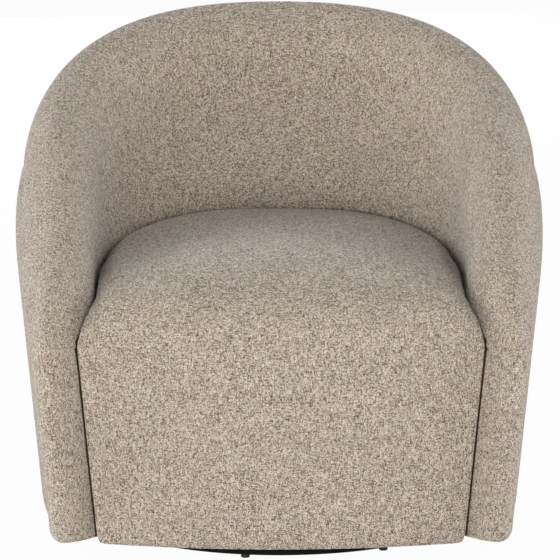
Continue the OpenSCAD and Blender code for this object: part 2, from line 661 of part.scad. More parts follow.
// Rocker mechanism, upper half: two flanged rails with ears, tied by cross bars
bolt_r = 4;
bolt_head_r = 7;
bolt_head_h = 4;
mount_bolt_l = 28;
cross_bar_y = 100;
cross_bar_w = 24;
mount_bolt_end = 190;
mount_bolt_ys = [-mount_bolt_end, -cross_bar_y, cross_bar_y, mount_bolt_end];
ear_gap = 2;
ear_x = cheek_x - steel_t - ear_gap;
flange_in = 74;
ear_r = 16;
ear_base = 60;
ear_neck_share = 0.9;
ear_neck = ear_r * ear_neck_share;
bush_wall = 3;
module rocker_rail(side) {
    color(steel) difference() {
        union() {
            translate([side > 0 ? flange_in : -ear_x, -rocker_half_l, rocker_z])
                cube([ear_x - flange_in, 2 * rocker_half_l, steel_t]);
            translate([side > 0 ? ear_x - steel_t : -ear_x, 0, 0])
                rotate([90, 0, 90]) linear_extrude(steel_t) {
                polygon([[-ear_base, rocker_z], [ear_base, rocker_z],
                    [ear_neck, pivot_z], [-ear_neck, pivot_z]]);
                translate([0, pivot_z]) circle(ear_r);
            }
        }
        translate([side * ear_x, 0, pivot_z]) rotate([0, 90, 0])
            cylinder(r = pivot_r + bush_wall, h = 4 * steel_t, center = true);
        for (y = mount_bolt_ys) translate([side * spring_x, y, rocker_z - over])
            cylinder(r = bolt_r, h = steel_t + 2 * over);
    }
}
module left_rocker_rail() { rocker_rail(-1); }
module right_rocker_rail() { rocker_rail(1); }
module rocker_cross_bars() {
    half = ear_x - steel_t;
    color(steel) for (side = [-1, 1]) difference() {
        translate([-half, side * cross_bar_y - cross_bar_w / 2, rocker_z - steel_t])
            cube([2 * half, cross_bar_w, steel_t]);
        for (x = [-spring_x, spring_x]) translate([x, side * cross_bar_y, rocker_z - steel_t - over])
            cylinder(r = bolt_r, h = steel_t + 2 * over);
    }
}
module mount_bolts() {
    for (x = [-spring_x, spring_x], y = mount_bolt_ys)
        let (z = abs(y) == cross_bar_y ? rocker_z - steel_t : rocker_z)
        color(zinc) translate([x, y, z]) {
            cylinder(r = bolt_r, h = mount_z + mount_bolt_l - z);
            translate([0, 0, -bolt_head_h]) cylinder(r = bolt_head_r, h = bolt_head_h, $fn = 6);
        }
}
module pivot_bushes() {
    flange = ear_gap - run_gap;
    for (side = [-1, 1]) color(zinc) translate([side * ear_x, 0, pivot_z])
        rotate([0, side * 90, 0]) difference() {
        union() {
            translate([0, 0, -steel_t]) cylinder(r = pivot_r + bush_wall, h = steel_t + flange);
            cylinder(r = pivot_r + 2 * bush_wall, h = flange);
        }
        translate([0, 0, -steel_t - over]) cylinder(r = pivot_r + bore_gap, h = 2 * steel_t + 2 * over);
    }
}
seat_r = 23;
boss_r = 12;
boss_h = 8;
boss_taper = 2;
module upper_spring_seats() {
    for (x = [-spring_x, spring_x], y = [-spring_y, spring_y]) color(steel)
        translate([x, y, rocker_z - steel_t]) {
        cylinder(r = seat_r, h = steel_t);
        translate([0, 0, -boss_h]) cylinder(r1 = boss_r - boss_taper, r2 = boss_r, h = boss_h);
    }
}

// Rocker mechanism, lower half: flat cradle plate with two flanged cheeks
cheek_web_h = 22;
cheek_end = 204;
tab_w = 22;
tab_l = 18;
stop_r = 9;
stop_taper = 1;
stop_y = cheek_end - tab_l / 2;
stop_x = cheek_x - tab_w / 2;
// Height of a rocked point of the rail flange, and so of the rubber stop that it meets
stop_from_axis = (stop_y - (rocker_z - pivot_z) * sin(rock_angle)) / cos(rock_angle);
stop_top = pivot_z + (rocker_z - pivot_z) * cos(rock_angle) - stop_from_axis * sin(rock_angle)
    - stop_r * sin(rock_angle) - run_gap;
stop_h = 10;
tab_top = stop_top - stop_h;
cradle_half_w = 115;
cradle_half_l = 70;
cradle_hole_gap = 2;
module cradle_plate() {
    color(steel) difference() {
        translate([-cradle_half_w, -cradle_half_l, cradle_z])
            cube([2 * cradle_half_w, 2 * cradle_half_l, steel_t]);
        translate([0, 0, cradle_z - over]) cylinder(r = king_r + cradle_hole_gap, h = steel_t + 2 * over);
        for (q = cradle_rivet_xy) translate([q[0], q[1], cradle_z - over])
            cylinder(r = rivet_r, h = steel_t + 2 * over);
        for (q = cradle_bolt_xy) translate([q[0], q[1], cradle_z - over])
            cylinder(r = rivet_r, h = steel_t + 2 * over);
    }
}
module cheek(side) {
    color(steel) difference() {
        union() {
            translate([side > 0 ? flange_in : -cheek_x, -cheek_end, flange_z])
                cube([cheek_x - flange_in, 2 * cheek_end, steel_t]);
            translate([side > 0 ? cheek_x - steel_t : -cheek_x, 0, 0])
                rotate([90, 0, 90]) linear_extrude(steel_t) {
                polygon([[-cheek_end, flange_z], [cheek_end, flange_z], [cheek_end, tab_top],
                         [cheek_end - tab_l, tab_top], [cheek_end - 2 * tab_l, flange_z + cheek_web_h],
                         [ear_base, flange_z + cheek_web_h], [ear_neck, pivot_z], [-ear_neck, pivot_z],
                         [-ear_base, flange_z + cheek_web_h], [2 * tab_l - cheek_end, flange_z + cheek_web_h],
                         [tab_l - cheek_end, tab_top], [-cheek_end, tab_top]]);
                translate([0, pivot_z]) circle(ear_r);
            }
            for (end = [-1, 1]) translate([side > 0 ? cheek_x - tab_w : -cheek_x,
                                           end * stop_y - tab_l / 2, tab_top - steel_t])
                cube([tab_w, tab_l, steel_t]);
        }
        translate([side * cheek_x, 0, pivot_z]) rotate([0, 90, 0])
            cylinder(r = pivot_r, h = 4 * steel_t, center = true);
        for (q = cradle_bolt_xy) translate([q[0], q[1], flange_z - over])
            cylinder(r = rivet_r, h = steel_t + 2 * over);
    }
}
module left_cheek() { cheek(-1); }
module right_cheek() { cheek(1); }
module bump_stops() {
    for (x = [-stop_x, stop_x], y = [-stop_y, stop_y]) color(rubber) translate([x, y, tab_top])
        cylinder(r1 = stop_r, r2 = stop_r - stop_taper, h = stop_h);
}
module lower_spring_seats() {
    for (x = [-spring_x, spring_x], y = [-spring_y, spring_y]) color(steel) translate([x, y, seat_low_z]) {
        cylinder(r = seat_r, h = steel_t);
        translate([0, 0, steel_t]) cylinder(r1 = boss_r, r2 = boss_r - boss_taper, h = boss_h);
    }
}
pivot_head_h = 5;
pivot_head_r = 10;
nut_h = 6;
module pivot_bolts() {
    for (side = [-1, 1]) color(zinc) translate([side * cheek_x, 0, pivot_z]) rotate([0, side * 90, 0]) {
        cylinder(r = pivot_head_r, h = pivot_head_h, $fn = 6);
        translate([0, 0, -2 * steel_t - ear_gap - nut_h - 2 * run_gap])
            cylinder(r = pivot_r, h = 2 * steel_t + ear_gap + nut_h + 2 * run_gap);
    }
}
module pivot_nuts() {
    for (side = [-1, 1]) color(zinc) translate([side * (ear_x - steel_t - run_gap - nut_h / 2), 0, pivot_z])
        rotate([0, 90, 0]) difference() {
            cylinder(r = pivot_head_r, h = nut_h, center = true, $fn = 6);
            cylinder(r = pivot_r, h = nut_h + 2 * over, center = true);
        }
}

// Coil springs: one closed turn at each end and open turns between
coil_turns = 5;
coil_rings = 8;
coil_sides = 6;
coil_low = seat_low_z + steel_t + run_gap;
coil_high = rocker_z - steel_t - run_gap;
coil_rest_gap = 0.8;
closed_rise = 2 * coil_wire_r + coil_rest_gap;
function coil_z(t) = let (open = coil_high - coil_low - 2 * coil_wire_r - 2 * closed_rise)
    coil_low + coil_wire_r + (t < 1 ? closed_rise * t
        : t > coil_turns - 1 ? closed_rise + open + closed_rise * (t - coil_turns + 1)
        : closed_rise + open * (t - 1) / (coil_turns - 2));
coil_points = [for (i = [0:coil_turns * coil_rings]) let (t = i / coil_rings)
               [coil_r * cos(360 * t), coil_r * sin(360 * t), coil_z(t)]];
function coil_gap() = min([for (i = [0:len(coil_points) - 1 - coil_rings])
                           norm(coil_points[i + coil_rings] - coil_points[i])]) - 2 * coil_wire_r;
echo(least_gap_in_coil_springs = coil_gap());
module coil(x, y) {
    m = coil_sides;
    rings = [for (i = [0:len(coil_points) - 1]) let (a = 360 * i / coil_rings, p = coil_points[i])
             [for (j = [0:m - 1]) let (b = 360 * j / m)
              p + coil_wire_r * [cos(a) * cos(b), sin(a) * cos(b), sin(b)]]];
    color(zinc) translate([x, y, 0]) loft(rings);
}
module front_left_spring() { coil(-spring_x, -spring_y); }
module front_right_spring() { coil(spring_x, -spring_y); }
module rear_left_spring() { coil(-spring_x, spring_y); }
module rear_right_spring() { coil(spring_x, spring_y); }

// Swivel: two plates with a ball track between them, on a king pin
rivet_r = 3;
rivet_head_r = 6;
rivet_head_h = 2.4;
plate_rivet_at = 42;
cradle_rivet_at = 30;
cradle_bolt_x = 100;
cradle_bolt_y = 45;
function four(x, y) = [[-x, -y], [-x, y], [x, -y], [x, y]];
plate_rivet_xy = four(plate_rivet_at, plate_rivet_at);
cradle_rivet_xy = four(cradle_rivet_at, cradle_rivet_at);
cradle_bolt_xy = four(cradle_bolt_x, cradle_bolt_y);
module ball_track() {
    translate([0, 0, track_z]) rotate_extrude($fn = 96) translate([track_r, 0])
        circle(ball_r + bore_gap, $fn = 32);
}
module lower_swivel_plate() {
    color(zinc) difference() {
        translate([0, 0, ring_top]) cylinder(r = plate_r, h = plate_t, $fn = 96);
        ball_track();
        translate([0, 0, ring_top - over]) cylinder(r = king_r, h = plate_t + 2 * over);
        for (q = plate_rivet_xy) translate([q[0], q[1], ring_top - over])
            cylinder(r = rivet_r, h = plate_t + 2 * over);
    }
}
module upper_swivel_plate() {
    color(zinc) difference() {
        translate([0, 0, upper_plate_z]) cylinder(r = plate_r, h = plate_t, $fn = 96);
        ball_track();
        translate([0, 0, upper_plate_z - over]) cylinder(r = king_r + bore_gap, h = plate_t + 2 * over);
        for (q = cradle_rivet_xy) translate([q[0], q[1], upper_plate_z - over])
            cylinder(r = rivet_r, h = plate_t + 2 * over);
    }
}
cage_t = 1.2;
cage_w = 18;
module ball_cage() {
    color(zinc) translate([0, 0, track_z - cage_t / 2]) difference() {
        cylinder(r = track_r + cage_w / 2, h = cage_t, $fn = 96);
        translate([0, 0, -over]) cylinder(r = track_r - cage_w / 2, h = cage_t + 2 * over, $fn = 96);
        for (i = [0:ball_n - 1]) rotate(360 * i / ball_n) translate([track_r, 0, -over])
            cylinder(r = ball_r + run_gap / 2, h = cage_t + 2 * over, $fn = 32);
    }
}
module bearing_balls() {
    color(zinc) for (i = [0:ball_n - 1]) rotate(360 * i / ball_n) translate([track_r, 0, track_z])
        sphere(ball_r, $fn = 32);
}
module rivet(q, low, high) {
    translate([q[0], q[1], low - rivet_head_h]) cylinder(r = rivet_head_r, h = rivet_head_h);
    translate([q[0], q[1], low - rivet_head_h]) cylinder(r = rivet_r, h = high - low + 2 * rivet_head_h);
    translate([q[0], q[1], high]) cylinder(r = rivet_head_r, h = rivet_head_h);
}
module plate_rivets() {
    color(steel) for (q = plate_rivet_xy) rivet(q, ring_top - bar_t, ring_top + plate_t);
}
module cradle_rivets() {
    color(steel) for (q = cradle_rivet_xy) rivet(q, upper_plate_z, cradle_z + steel_t);
}
module cradle_bolts() {
    color(zinc) for (q = cradle_bolt_xy) {
        translate([q[0], q[1], cradle_z - rivet_r]) cylinder(r = rivet_r, h = 2 * steel_t + rivet_r + over);
        translate([q[0], q[1], flange_z + steel_t]) cylinder(r = rivet_head_r, h = rivet_r, $fn = 6);
        translate([q[0], q[1], cradle_z - rivet_r]) cylinder(r = rivet_head_r, h = rivet_r, $fn = 6);
    }
}
king_head_r = 14;
king_head_h = 3;
king_nut_r = 13;
king_nut_h = 7;
king_thread = 1.5;
module king_pin() {
    color(steel) translate([0, 0, ring_top - bar_t]) {
        cylinder(r = king_r, h = flange_z + run_gap + king_nut_h + king_thread - ring_top + bar_t);
        translate([0, 0, -king_head_h]) cylinder(r = king_head_r, h = king_head_h);
    }
}
module king_nut() {
    color(zinc) translate([0, 0, flange_z + run_gap]) difference() {
        cylinder(r = king_nut_r, h = king_nut_h, $fn = 6);
        translate([0, 0, -over]) cylinder(r = king_r, h = king_nut_h + 2 * over);
    }
}

// Floor ring, the bars across it and its glides
ring_edge = 3;
hub_half = 60;
module base_ring() {
    color(steel) translate([0, 0, ring_z]) rotate_extrude($fn = 128) translate([ring_r - ring_w, 0]) hull()
        for (x = [ring_edge, ring_w - ring_edge], z = [ring_edge, ring_h - ring_edge])
            translate([x, z]) circle(ring_edge, $fn = 24);
}
module cross_bars() {
    reach = ring_r - ring_w;
    color(steel) translate([0, 0, ring_top - bar_t]) difference() {
        linear_extrude(bar_t) {
            for (turn = [45, 135]) rotate(turn) intersection() {
                circle(reach, $fn = 128);
                square([2 * ring_r, bar_w], center = true);
            }
            rotate(45) square(2 * hub_half, center = true);
        }
        translate([0, 0, -over]) cylinder(r = king_r, h = bar_t + 2 * over);
        for (q = plate_rivet_xy) translate([q[0], q[1], -over]) cylinder(r = rivet_r, h = bar_t + 2 * over);
    }
}
glide_r = 6.5;
glide_turn = 34;
glide_edge = 1;
module glides() {
    color(rubber) for (i = [0:glide_n - 1]) rotate(glide_turn - 90 + 360 * i / glide_n)
        translate([ring_r - ring_w / 2, 0, 0]) {
            cylinder(r1 = glide_r - glide_edge, r2 = glide_r, h = glide_edge);
            translate([0, 0, glide_edge]) cylinder(r = glide_r, h = glide_h - glide_edge);
        }
}

base_ring();
cross_bars();
glides();
lower_swivel_plate();
plate_rivets();
king_pin();
king_nut();
ball_cage();
bearing_balls();
upper_swivel_plate();
cradle_plate();
cradle_rivets();
left_cheek();
right_cheek();
cradle_bolts();
lower_spring_seats();
bump_stops();
pivot_bolts();
pivot_nuts();
front_left_spring();
front_right_spring();
rear_left_spring();
rear_right_spring();
left_rocker_rail();
right_rocker_rail();
rocker_cross_bars();
pivot_bushes();
upper_spring_seats();
mount_bolts();
left_mount_rail();
right_mount_rail();
base_board();
dust_cover();
front_rail();
rear_rail();
left_side_rail();
right_side_rail();
corner_blocks();
deck_board();
lower_studs();
upper_studs();
top_rail();
back_webbing();
seat_springs();
spring_clips();
seat_foam();
front_foam();
seat_cover();
inside_cover();
outside_cover();
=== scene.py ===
# A barrel-back swivel rocker in heathered tweed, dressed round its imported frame.
# Shapes are in millimetres until add_mesh turns them to metres; lamps, camera and materials are in metres.
import math
import bpy
import bmesh
import numpy as np
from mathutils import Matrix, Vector


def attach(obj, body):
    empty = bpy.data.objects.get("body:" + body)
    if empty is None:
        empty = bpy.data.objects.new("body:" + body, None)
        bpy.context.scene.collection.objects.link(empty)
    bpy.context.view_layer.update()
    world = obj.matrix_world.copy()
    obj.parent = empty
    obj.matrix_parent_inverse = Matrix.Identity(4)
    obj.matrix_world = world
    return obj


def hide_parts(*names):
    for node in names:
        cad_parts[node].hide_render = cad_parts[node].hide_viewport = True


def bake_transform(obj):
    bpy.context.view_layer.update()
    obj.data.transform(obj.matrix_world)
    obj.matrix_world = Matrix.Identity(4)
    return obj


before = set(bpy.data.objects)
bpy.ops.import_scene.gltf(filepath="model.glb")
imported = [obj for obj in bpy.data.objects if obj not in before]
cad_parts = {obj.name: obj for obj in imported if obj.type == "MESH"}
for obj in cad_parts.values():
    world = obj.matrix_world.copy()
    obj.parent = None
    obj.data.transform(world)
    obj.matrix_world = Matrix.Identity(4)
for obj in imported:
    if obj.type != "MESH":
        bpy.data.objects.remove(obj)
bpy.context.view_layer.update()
scene = bpy.context.scene

# Driving sizes of the shell and the seat, the same as in the part's source

# Rim: its height at the back and at the arm ends, and the two powers of its fall
RIM_H = 738.0
ARM_END_H = 353.0
RIM_FALL = 1.29
RIM_ROUND = 1.24
# Crest line seen from above: an arc behind, straight sides, and rounded arm fronts that flare outward
CREST_HALF_W = 326.0
CREST_BACK = 305.0
ARM_ROUND_START = 250.0
ARM_FRONT = 363.0
ARM_FLARE = 24.0
# Outward from the crest: the shell's belly at the side, back and front, and the roll
OUT_SIDE = 68.0
OUT_BACK = 75.0
OUT_FRONT = 49.0
OUT_TOP = 56.5
# Inward from the crest: the padding on the arms and at the back, and the roll
IN_ARM = 50.0
IN_BACK = 118.0
IN_TOP = 54.0
# Roll: its height, and the powers that round it and the arm fronts
ROLL_H = 96.0
ROLL_SHARE = 1.85
CAP_IN = 1.6
CAP_OUT = 2.0
# Padding: where on the arms it starts to thicken, its power and share toward the back, and how it eases in
ARM_LEAN_END = 100.0
BACK_LEAN = 1.2
LEAN_REACH = 0.85
EASE = 0.35
# Below its belly the wall leans inward, softly at first
BELLY_Z = 433.0
LEAN = 0.098
LEAN_SOFT = 40.0
LEAN_RUN = 70.0
BELLY_TOP = BELLY_Z + LEAN_SOFT
# Heights of the hems and the seam behind the seat, and the outside skin's thickness
HEM_Z = 46.0
SEAT_HEM_Z = 39.0
BACK_SEAM_Z = 438.0
SKIN_T = 14.0
# Frame that the covers stand on
DECK_Z = 338.0
FRONT_RAIL_Y = 312.0
FOAM_Z = 346.2
RUN_GAP = 0.3
TINY = 0.3
COLUMN_Y = FRONT_RAIL_Y + TINY
SPLIT_RISE = 10.0
SPLIT_MIN = DECK_Z + SPLIT_RISE
# Room inside the roll for the frame's top rail
PAD_SHARE = 0.62
ROLL_SKIN = 15.0
ROLL_SKIN_GROWTH = 4.0
CAVITY_DROP = 62.0
# Seat: plan of its front, crown, and rounded edges
SEAT_FRONT = 380.0
FRONT_BOW_R = 903.0
SEAT_CROWN_Z = 455.0
SEAT_SIDE_Z = 379.5
FRONT_ROLL_H = 107.0
FRONT_ROLL_L = 200.0
SIDE_ROLL = 34.0
COVER_T = 14.0
CROWN_T = 30.0
# Seam between seat and shell: at the side, between the front panel and the arms, and at the back
SEAT_GAP = 0.8
FRONT_GAP = 2.2
BACK_GAP = 1.8


def rim_at(y):
    """Height of the rim, falling from the back to the arm ends."""
    t = (CREST_BACK - y) / (CREST_BACK + ARM_FRONT)
    return ARM_END_H + (RIM_H - ARM_END_H) * max(0.0, 1 - max(0.0, t) ** RIM_FALL) ** (1 / RIM_ROUND)


def round_off(t, n):
    """Height of a rounded end of the power n at a share t of its length."""
    return max(0.0, 1 - max(0.0, t) ** n) ** (1 / n)


def cap_t(v):
    """Share of the way forward round the arm's end."""
    return math.sin(math.radians(90 * max(0.0, abs(v) - 2)))


def crest(v):
    """Crest line from above. Station v: 0 back, 1 side, 2 to 3 round the arm's end, negative at the left."""
    a = abs(v)
    if a <= 1:
        return CREST_HALF_W * math.sin(math.radians(90 * a)), CREST_BACK * math.cos(math.radians(90 * a))
    if a <= 2:
        return CREST_HALF_W, -ARM_ROUND_START * (a - 1)
    t = cap_t(v)
    return CREST_HALF_W + ARM_FLARE * t * t, -ARM_ROUND_START - (ARM_FRONT - ARM_ROUND_START) * t


def outward(v):
    """Direction across the wall at a station, seen from above."""
    a = math.radians(90 * min(1.0, abs(v)))
    n = math.sin(a) / CREST_HALF_W, math.cos(a) / CREST_BACK
    length = math.hypot(*n)
    return n[0] / length, n[1] / length


def place(v, r, z):
    """Point at a station, at a distance outward from the crest line and a height."""
    c, n = crest(v), outward(v)
    return (-1 if v < 0 else 1) * (c[0] + n[0] * r), c[1] + n[1] * r, z


def rim_z(v):
    return rim_at(crest(v)[1])


def shoulder_z(v):
    return rim_z(v) - ROLL_H


def in_low(v):
    """Full thickness of the padding inward, from the back to the arms."""
    a = abs(v)
    along = LEAN_REACH * min(1.0, a) + (1 - LEAN_REACH) * ARM_ROUND_START * max(0.0, a - 1) / ARM_LEAN_END
    return IN_ARM + (IN_BACK - IN_ARM) * max(0.0, math.cos(math.radians(90 * min(1.0, along)))) ** BACK_LEAN


def out_low(v):
    """Distance of the belly outward from the crest."""
    a = abs(v)
    if a <= 1:
        return OUT_SIDE + (OUT_BACK - OUT_SIDE) * math.cos(math.radians(90 * a)) ** 2
    return OUT_SIDE - (OUT_SIDE - OUT_FRONT) * min(1.0, a - 1) ** 2


def lean(z):
    """How far the wall has come inward at a height below the belly."""
    d = max(0.0, BELLY_TOP - z)
    if d < 2 * LEAN_SOFT:
        return LEAN * d * d / (4 * LEAN_SOFT)
    return LEAN * (d - LEAN_SOFT)


def cap_in(v):
    return round_off(cap_t(v), CAP_IN)


def cap_out(v):
    return round_off(cap_t(v), CAP_OUT)


def out_r(v, z):
    """Outer face of the wall, outward from the crest."""
    zs, low = shoulder_z(v), out_low(v)
    top = min(low, OUT_TOP)
    w = min(1.0, (zs - z) / max(LEAN_RUN, zs - BELLY_TOP))
    flat = top * round_off((z - zs) / ROLL_H, ROLL_SHARE) if z > zs else top + (low - top) * w * (2 - w)
    return cap_out(v) * flat - lean(z)


def eased(w):
    """Share of the full thickness, which starts softly."""
    return (w * w / (2 * EASE) if w < EASE else w - EASE / 2) / (1 - EASE / 2)


def in_flat(v, z):
    """Inner face of the wall below the roll, inward from the crest."""
    zs, low = shoulder_z(v), in_low(v)
    top = min(low, IN_TOP)
    w = min(1.0, max(0.0, zs - z) / max(LEAN_RUN, zs - BACK_SEAM_Z))
    return cap_in(v) * (top + (low - top) * eased(w)) + lean(z)


def in_r(v, z):
    """Inner face of the wall with its roll."""
    zs, top = shoulder_z(v), min(in_low(v), IN_TOP)
    if z > zs:
        return cap_in(v) * top * round_off((z - zs) / ROLL_H, ROLL_SHARE) + lean(z)
    return in_flat(v, z)


def split_z(v):
    """Height of the seam under the roll."""
    return max(shoulder_z(v), SPLIT_MIN)


def cap_v(y):
    """Station on the rounded arm front at a distance in front of the middle."""
    return 2 + math.degrees(math.asin((y - ARM_ROUND_START) / (ARM_FRONT - ARM_ROUND_START))) / 90


# The arm's front column is one with the inside cover; the rest of the outside is a skin of its own
COLUMN_V = cap_v(COLUMN_Y)
COLUMN_START_V = cap_v(COLUMN_Y + 2 * TINY)


def add_mesh(name, verts_mm, faces):
    """A smooth object in metres from points in millimetres."""
    mesh = bpy.data.meshes.new(name)
    mesh.from_pydata([tuple(c / 1000 for c in p) for p in verts_mm], [], faces)
    mesh.validate()
    obj = bpy.data.objects.new(name, mesh)
    scene.collection.objects.link(obj)
    mesh.shade_smooth()
    return obj


def mirrored(stations):
    """Stations of the left side, then those of the right."""
    return [-v for v in reversed(stations) if v > 0] + list(stations)


def frange(a, b, n):
    return [a + (b - a) * i / n for i in range(n + 1)]


def along_path(points, n):
    """Evenly spaced points along a path of a few corners."""
    p = np.array(points, float)
    run = np.concatenate([[0.0], np.cumsum(np.hypot(*(p[1:] - p[:-1]).T))])
    even = [run[-1] * i / (n - 1) for i in range(n)]
    return np.stack([np.interp(even, run, p[:, 0]), np.interp(even, run, p[:, 1])], 1).tolist()


def face_outward(obj, merge=0.0):
    """Joins points closer than merge and turns the faces outward."""
    bm = bmesh.new()
    bm.from_mesh(obj.data)
    if merge:
        bmesh.ops.remove_doubles(bm, verts=bm.verts, dist=merge)
    bmesh.ops.recalc_face_normals(bm, faces=bm.faces)
    bm.to_mesh(obj.data)
    bm.free()


# Points this close, in metres, are one
MERGE = 2e-6


def loft(name, rings):
    """A closed tube through rings of equal length, shut by a fan at each end."""
    k, m = len(rings), len(rings[0])
    stack = np.array(rings, float)
    verts = stack.reshape(-1, 3).tolist()
    faces = []
    for i in range(k - 1):
        for j in range(m):
            a, b = i * m + j, i * m + (j + 1) % m
            faces.append((a, a + m, b + m, b))
    for base, sign in ((0, 1), ((k - 1) * m, -1)):
        centre = stack[base // m].mean(0)
        verts.append(centre.tolist())
        c = len(verts) - 1
        for j in range(m):
            a, b = base + j, base + (j + 1) % m
            faces.append((c, a, b) if sign > 0 else (c, b, a))
    obj = add_mesh(name, verts, faces)
    face_outward(obj, MERGE)
    return obj


# Covers of the shell: seams draw the padding in, and the hem turns under
SEAM_DEPTH = 3.2
SEAM_REACH = 9.0
ROLL_SEAM_END = COLUMN_V + 0.02
SHELL_HEM_ROUND = 10.0
COLUMN_FLOOR_RISE = 1.0
# Points of a section: over the roll, down the inside, up the back of it, and down and up the outside skin
ROLL_N = 44
INNER_N = 46
BACK_N = 12
SKIN_N = 64
SKIN_CLOSER_LOW = 1.3
LINING_N = 12
# Rings round the back, along the sides, round the arm to its column, and round the column
BACK_RINGS = 64
SIDE_RINGS = 36
FRONT_RINGS = 10
COLUMN_RINGS = 22


def seam_pull(d):
    return SEAM_DEPTH * math.exp(-(d / SEAM_REACH) ** 2)


def round_in(t, radius):
    """How far a rounded edge has come in at a share t of its radius from the flat face."""
    k = min(1.0, max(0.0, t))
    return radius * (1 - math.sqrt(1 - k * k))


def outer_pull(v, z):
    """How far the outer face is drawn in at the seam under the roll and down the arm front."""
    pull = seam_pull(z - split_z(v)) if abs(v) <= ROLL_SEAM_END else 0
    if z < split_z(v) + SEAM_REACH:
        pull = max(pull, seam_pull(-crest(v)[1] - COLUMN_Y))
    return pull * cap_out(v)


def outer_point(v, z):
    """Point of the outer face below the roll, with its seams and its rounded hem."""
    hem = round_in(1 - (z - HEM_Z) / SHELL_HEM_ROUND, SHELL_HEM_ROUND)
    return place(v, out_r(v, z) - outer_pull(v, z) - hem * cap_out(v), z)


def roll_points(v, z0):
    """Over the roll, from its outer seam to the same height inside."""
    zs = shoulder_z(v)
    a0 = math.asin(min(1.0, max(0.0, (z0 - zs) / ROLL_H) ** (ROLL_SHARE / 2)))
    pts = []
    half = ROLL_N // 2
    for i in range(-half, half + 1):
        a = a0 + (math.pi / 2 - a0) * (1 - abs(i) / half)
        z = zs + ROLL_H * math.sin(a) ** (2 / ROLL_SHARE)
        if i == 0:
            pts.append(place(v, -lean(rim_z(v)), rim_z(v)))
        elif i < 0:
            pts.append(place(v, out_r(v, z) - outer_pull(v, z), z))
        else:
            pts.append(place(v, -in_r(v, z), z))
    return pts


def rim_section(v):
    """Inside cover: the roll, the inner back down to the deck, and the padding's back face."""
    z0, bottom, ceiling = split_z(v) + 2 * RUN_GAP, DECK_Z + RUN_GAP, rim_z(v) - CAVITY_DROP
    pts = roll_points(v, z0)
    for i in range(1, INNER_N + 1):
        z = z0 + (bottom - z0) * i / INNER_N
        pts.append(place(v, -in_r(v, z), z))
    back = [(-in_r(v, z) * (1 - PAD_SHARE), z) for z in (bottom, (bottom + ceiling) / 2, ceiling)]
    back.append((out_r(v, z0) - (ROLL_SKIN + ROLL_SKIN_GROWTH) * cap_out(v), ceiling))
    back.append((out_r(v, z0) - ROLL_SKIN * cap_out(v), z0))
    return pts + [place(v, r, z) for r, z in along_path(back, BACK_N)]


def column_section(v):
    """Arm front: the roll, the inside and outside down to the hem."""
    z0 = max(shoulder_z(v), HEM_Z) + 2 * RUN_GAP
    pts = roll_points(v, z0)
    for i in range(1, INNER_N + 1):
        z = z0 + (HEM_Z - z0) * i / INNER_N
        pts.append(place(v, -in_r(v, z), z))
    pts.append(place(v, (out_r(v, HEM_Z) - in_r(v, HEM_Z)) / 2, HEM_Z + COLUMN_FLOOR_RISE))
    for i in range(1, BACK_N):
        z = HEM_Z + (z0 - HEM_Z) * ((i - 1) / (BACK_N - 1)) ** 2
        pts.append(outer_point(v, z))
    return pts


half_stations = frange(0, 1, BACK_RINGS) + frange(1, 2, SIDE_RINGS)[1:]
half_stations += frange(2, COLUMN_V, FRONT_RINGS)[1:]
column_stations = frange(COLUMN_START_V, 3, COLUMN_RINGS)


def make_inside():
    rings = [column_section(-v) for v in reversed(column_stations)]
    rings += [rim_section(v) for v in mirrored(half_stations)]
    rings += [column_section(v) for v in column_stations]
    return loft("shell_inside", rings)


def skin_section(v):
    """Outside cover: up its outer face from the hem to the roll, and down its inner face."""
    top = split_z(v)
    heights = [HEM_Z + (top - HEM_Z) * share ** SKIN_CLOSER_LOW for share in frange(0, 1, SKIN_N)]
    outer = [outer_point(v, z) for z in heights]
    inner = [place(v, out_r(v, z) - SKIN_T * cap_out(v), z) for z in frange(top, HEM_Z, LINING_N)]
    return outer + inner


def make_outside():
    return loft("shell_outside", [skin_section(v) for v in mirrored(half_stations)])


# Seat: columns of points run from its middle, over its edge and down to the hem
CENTRE = (0.0, -60.0)
# Height of the rounded edge at the sides and the back
SEAT_SIDE_RISE = 32.0
SEAT_BACK_RISE = 16.0
SEAT_BACK_Z = BACK_SEAM_Z - SEAT_BACK_RISE
# Rounded front beside the arms: its height, its depth, and how far in its close points reach
CORNER_DROP = 65.0
CORNER_FALL = 95.0
CORNER_REACH = 137.0
# Vertical edge of the front panel, and where the seam beside the arms starts to open toward it
CORNER_R = 4.0
CORNER_Y = 327.5
BLEND_START = 200.0
SEAT_V = cap_v(CORNER_Y)
# Stations between which the back edge turns into the side edge
BACK_END = 0.3
SIDE_START = 1 - CENTRE[1] / ARM_ROUND_START


def bow_y(x):
    """Bowed front of the seat."""
    return FRONT_BOW_R - SEAT_FRONT - math.sqrt(FRONT_BOW_R ** 2 - x * x)


def smooth(t):
    u = min(1.0, max(0.0, t))
    return u * u * (3 - 2 * u)


def toward_corner(v):
    """Share of the way from the straight side to the corner of the front panel."""
    return smooth((-crest(v)[1] - BLEND_START) / (CORNER_Y - BLEND_START))


def seat_gap(v):
    """The seam beside the shell is tight; it opens a little at the back and beside the front panel."""
    front = toward_corner(v)
    return SEAT_GAP + (FRONT_GAP - SEAT_GAP) * front + (BACK_GAP - SEAT_GAP) * (1 - smooth(abs(v)))


def seat_side_x(z):
    return place(SEAT_V, -in_flat(SEAT_V, z) - FRONT_GAP, z)[0]


def seat_edge(p, z):
    """Edge of the seat at a height; p is one of its stretches and the station, angle or share there."""
    kind, s = p
    if kind == "shell":
        q = place(s, -in_flat(s, z) - seat_gap(s), z)
        return q[0], q[1]
    x = seat_side_x(z) - CORNER_R
    if kind == "corner":
        a = math.radians(abs(s))
        return math.copysign(x + CORNER_R * math.cos(a), s), bow_y(x) + CORNER_R * (1 - math.sin(a))
    return s * x, bow_y(s * x)


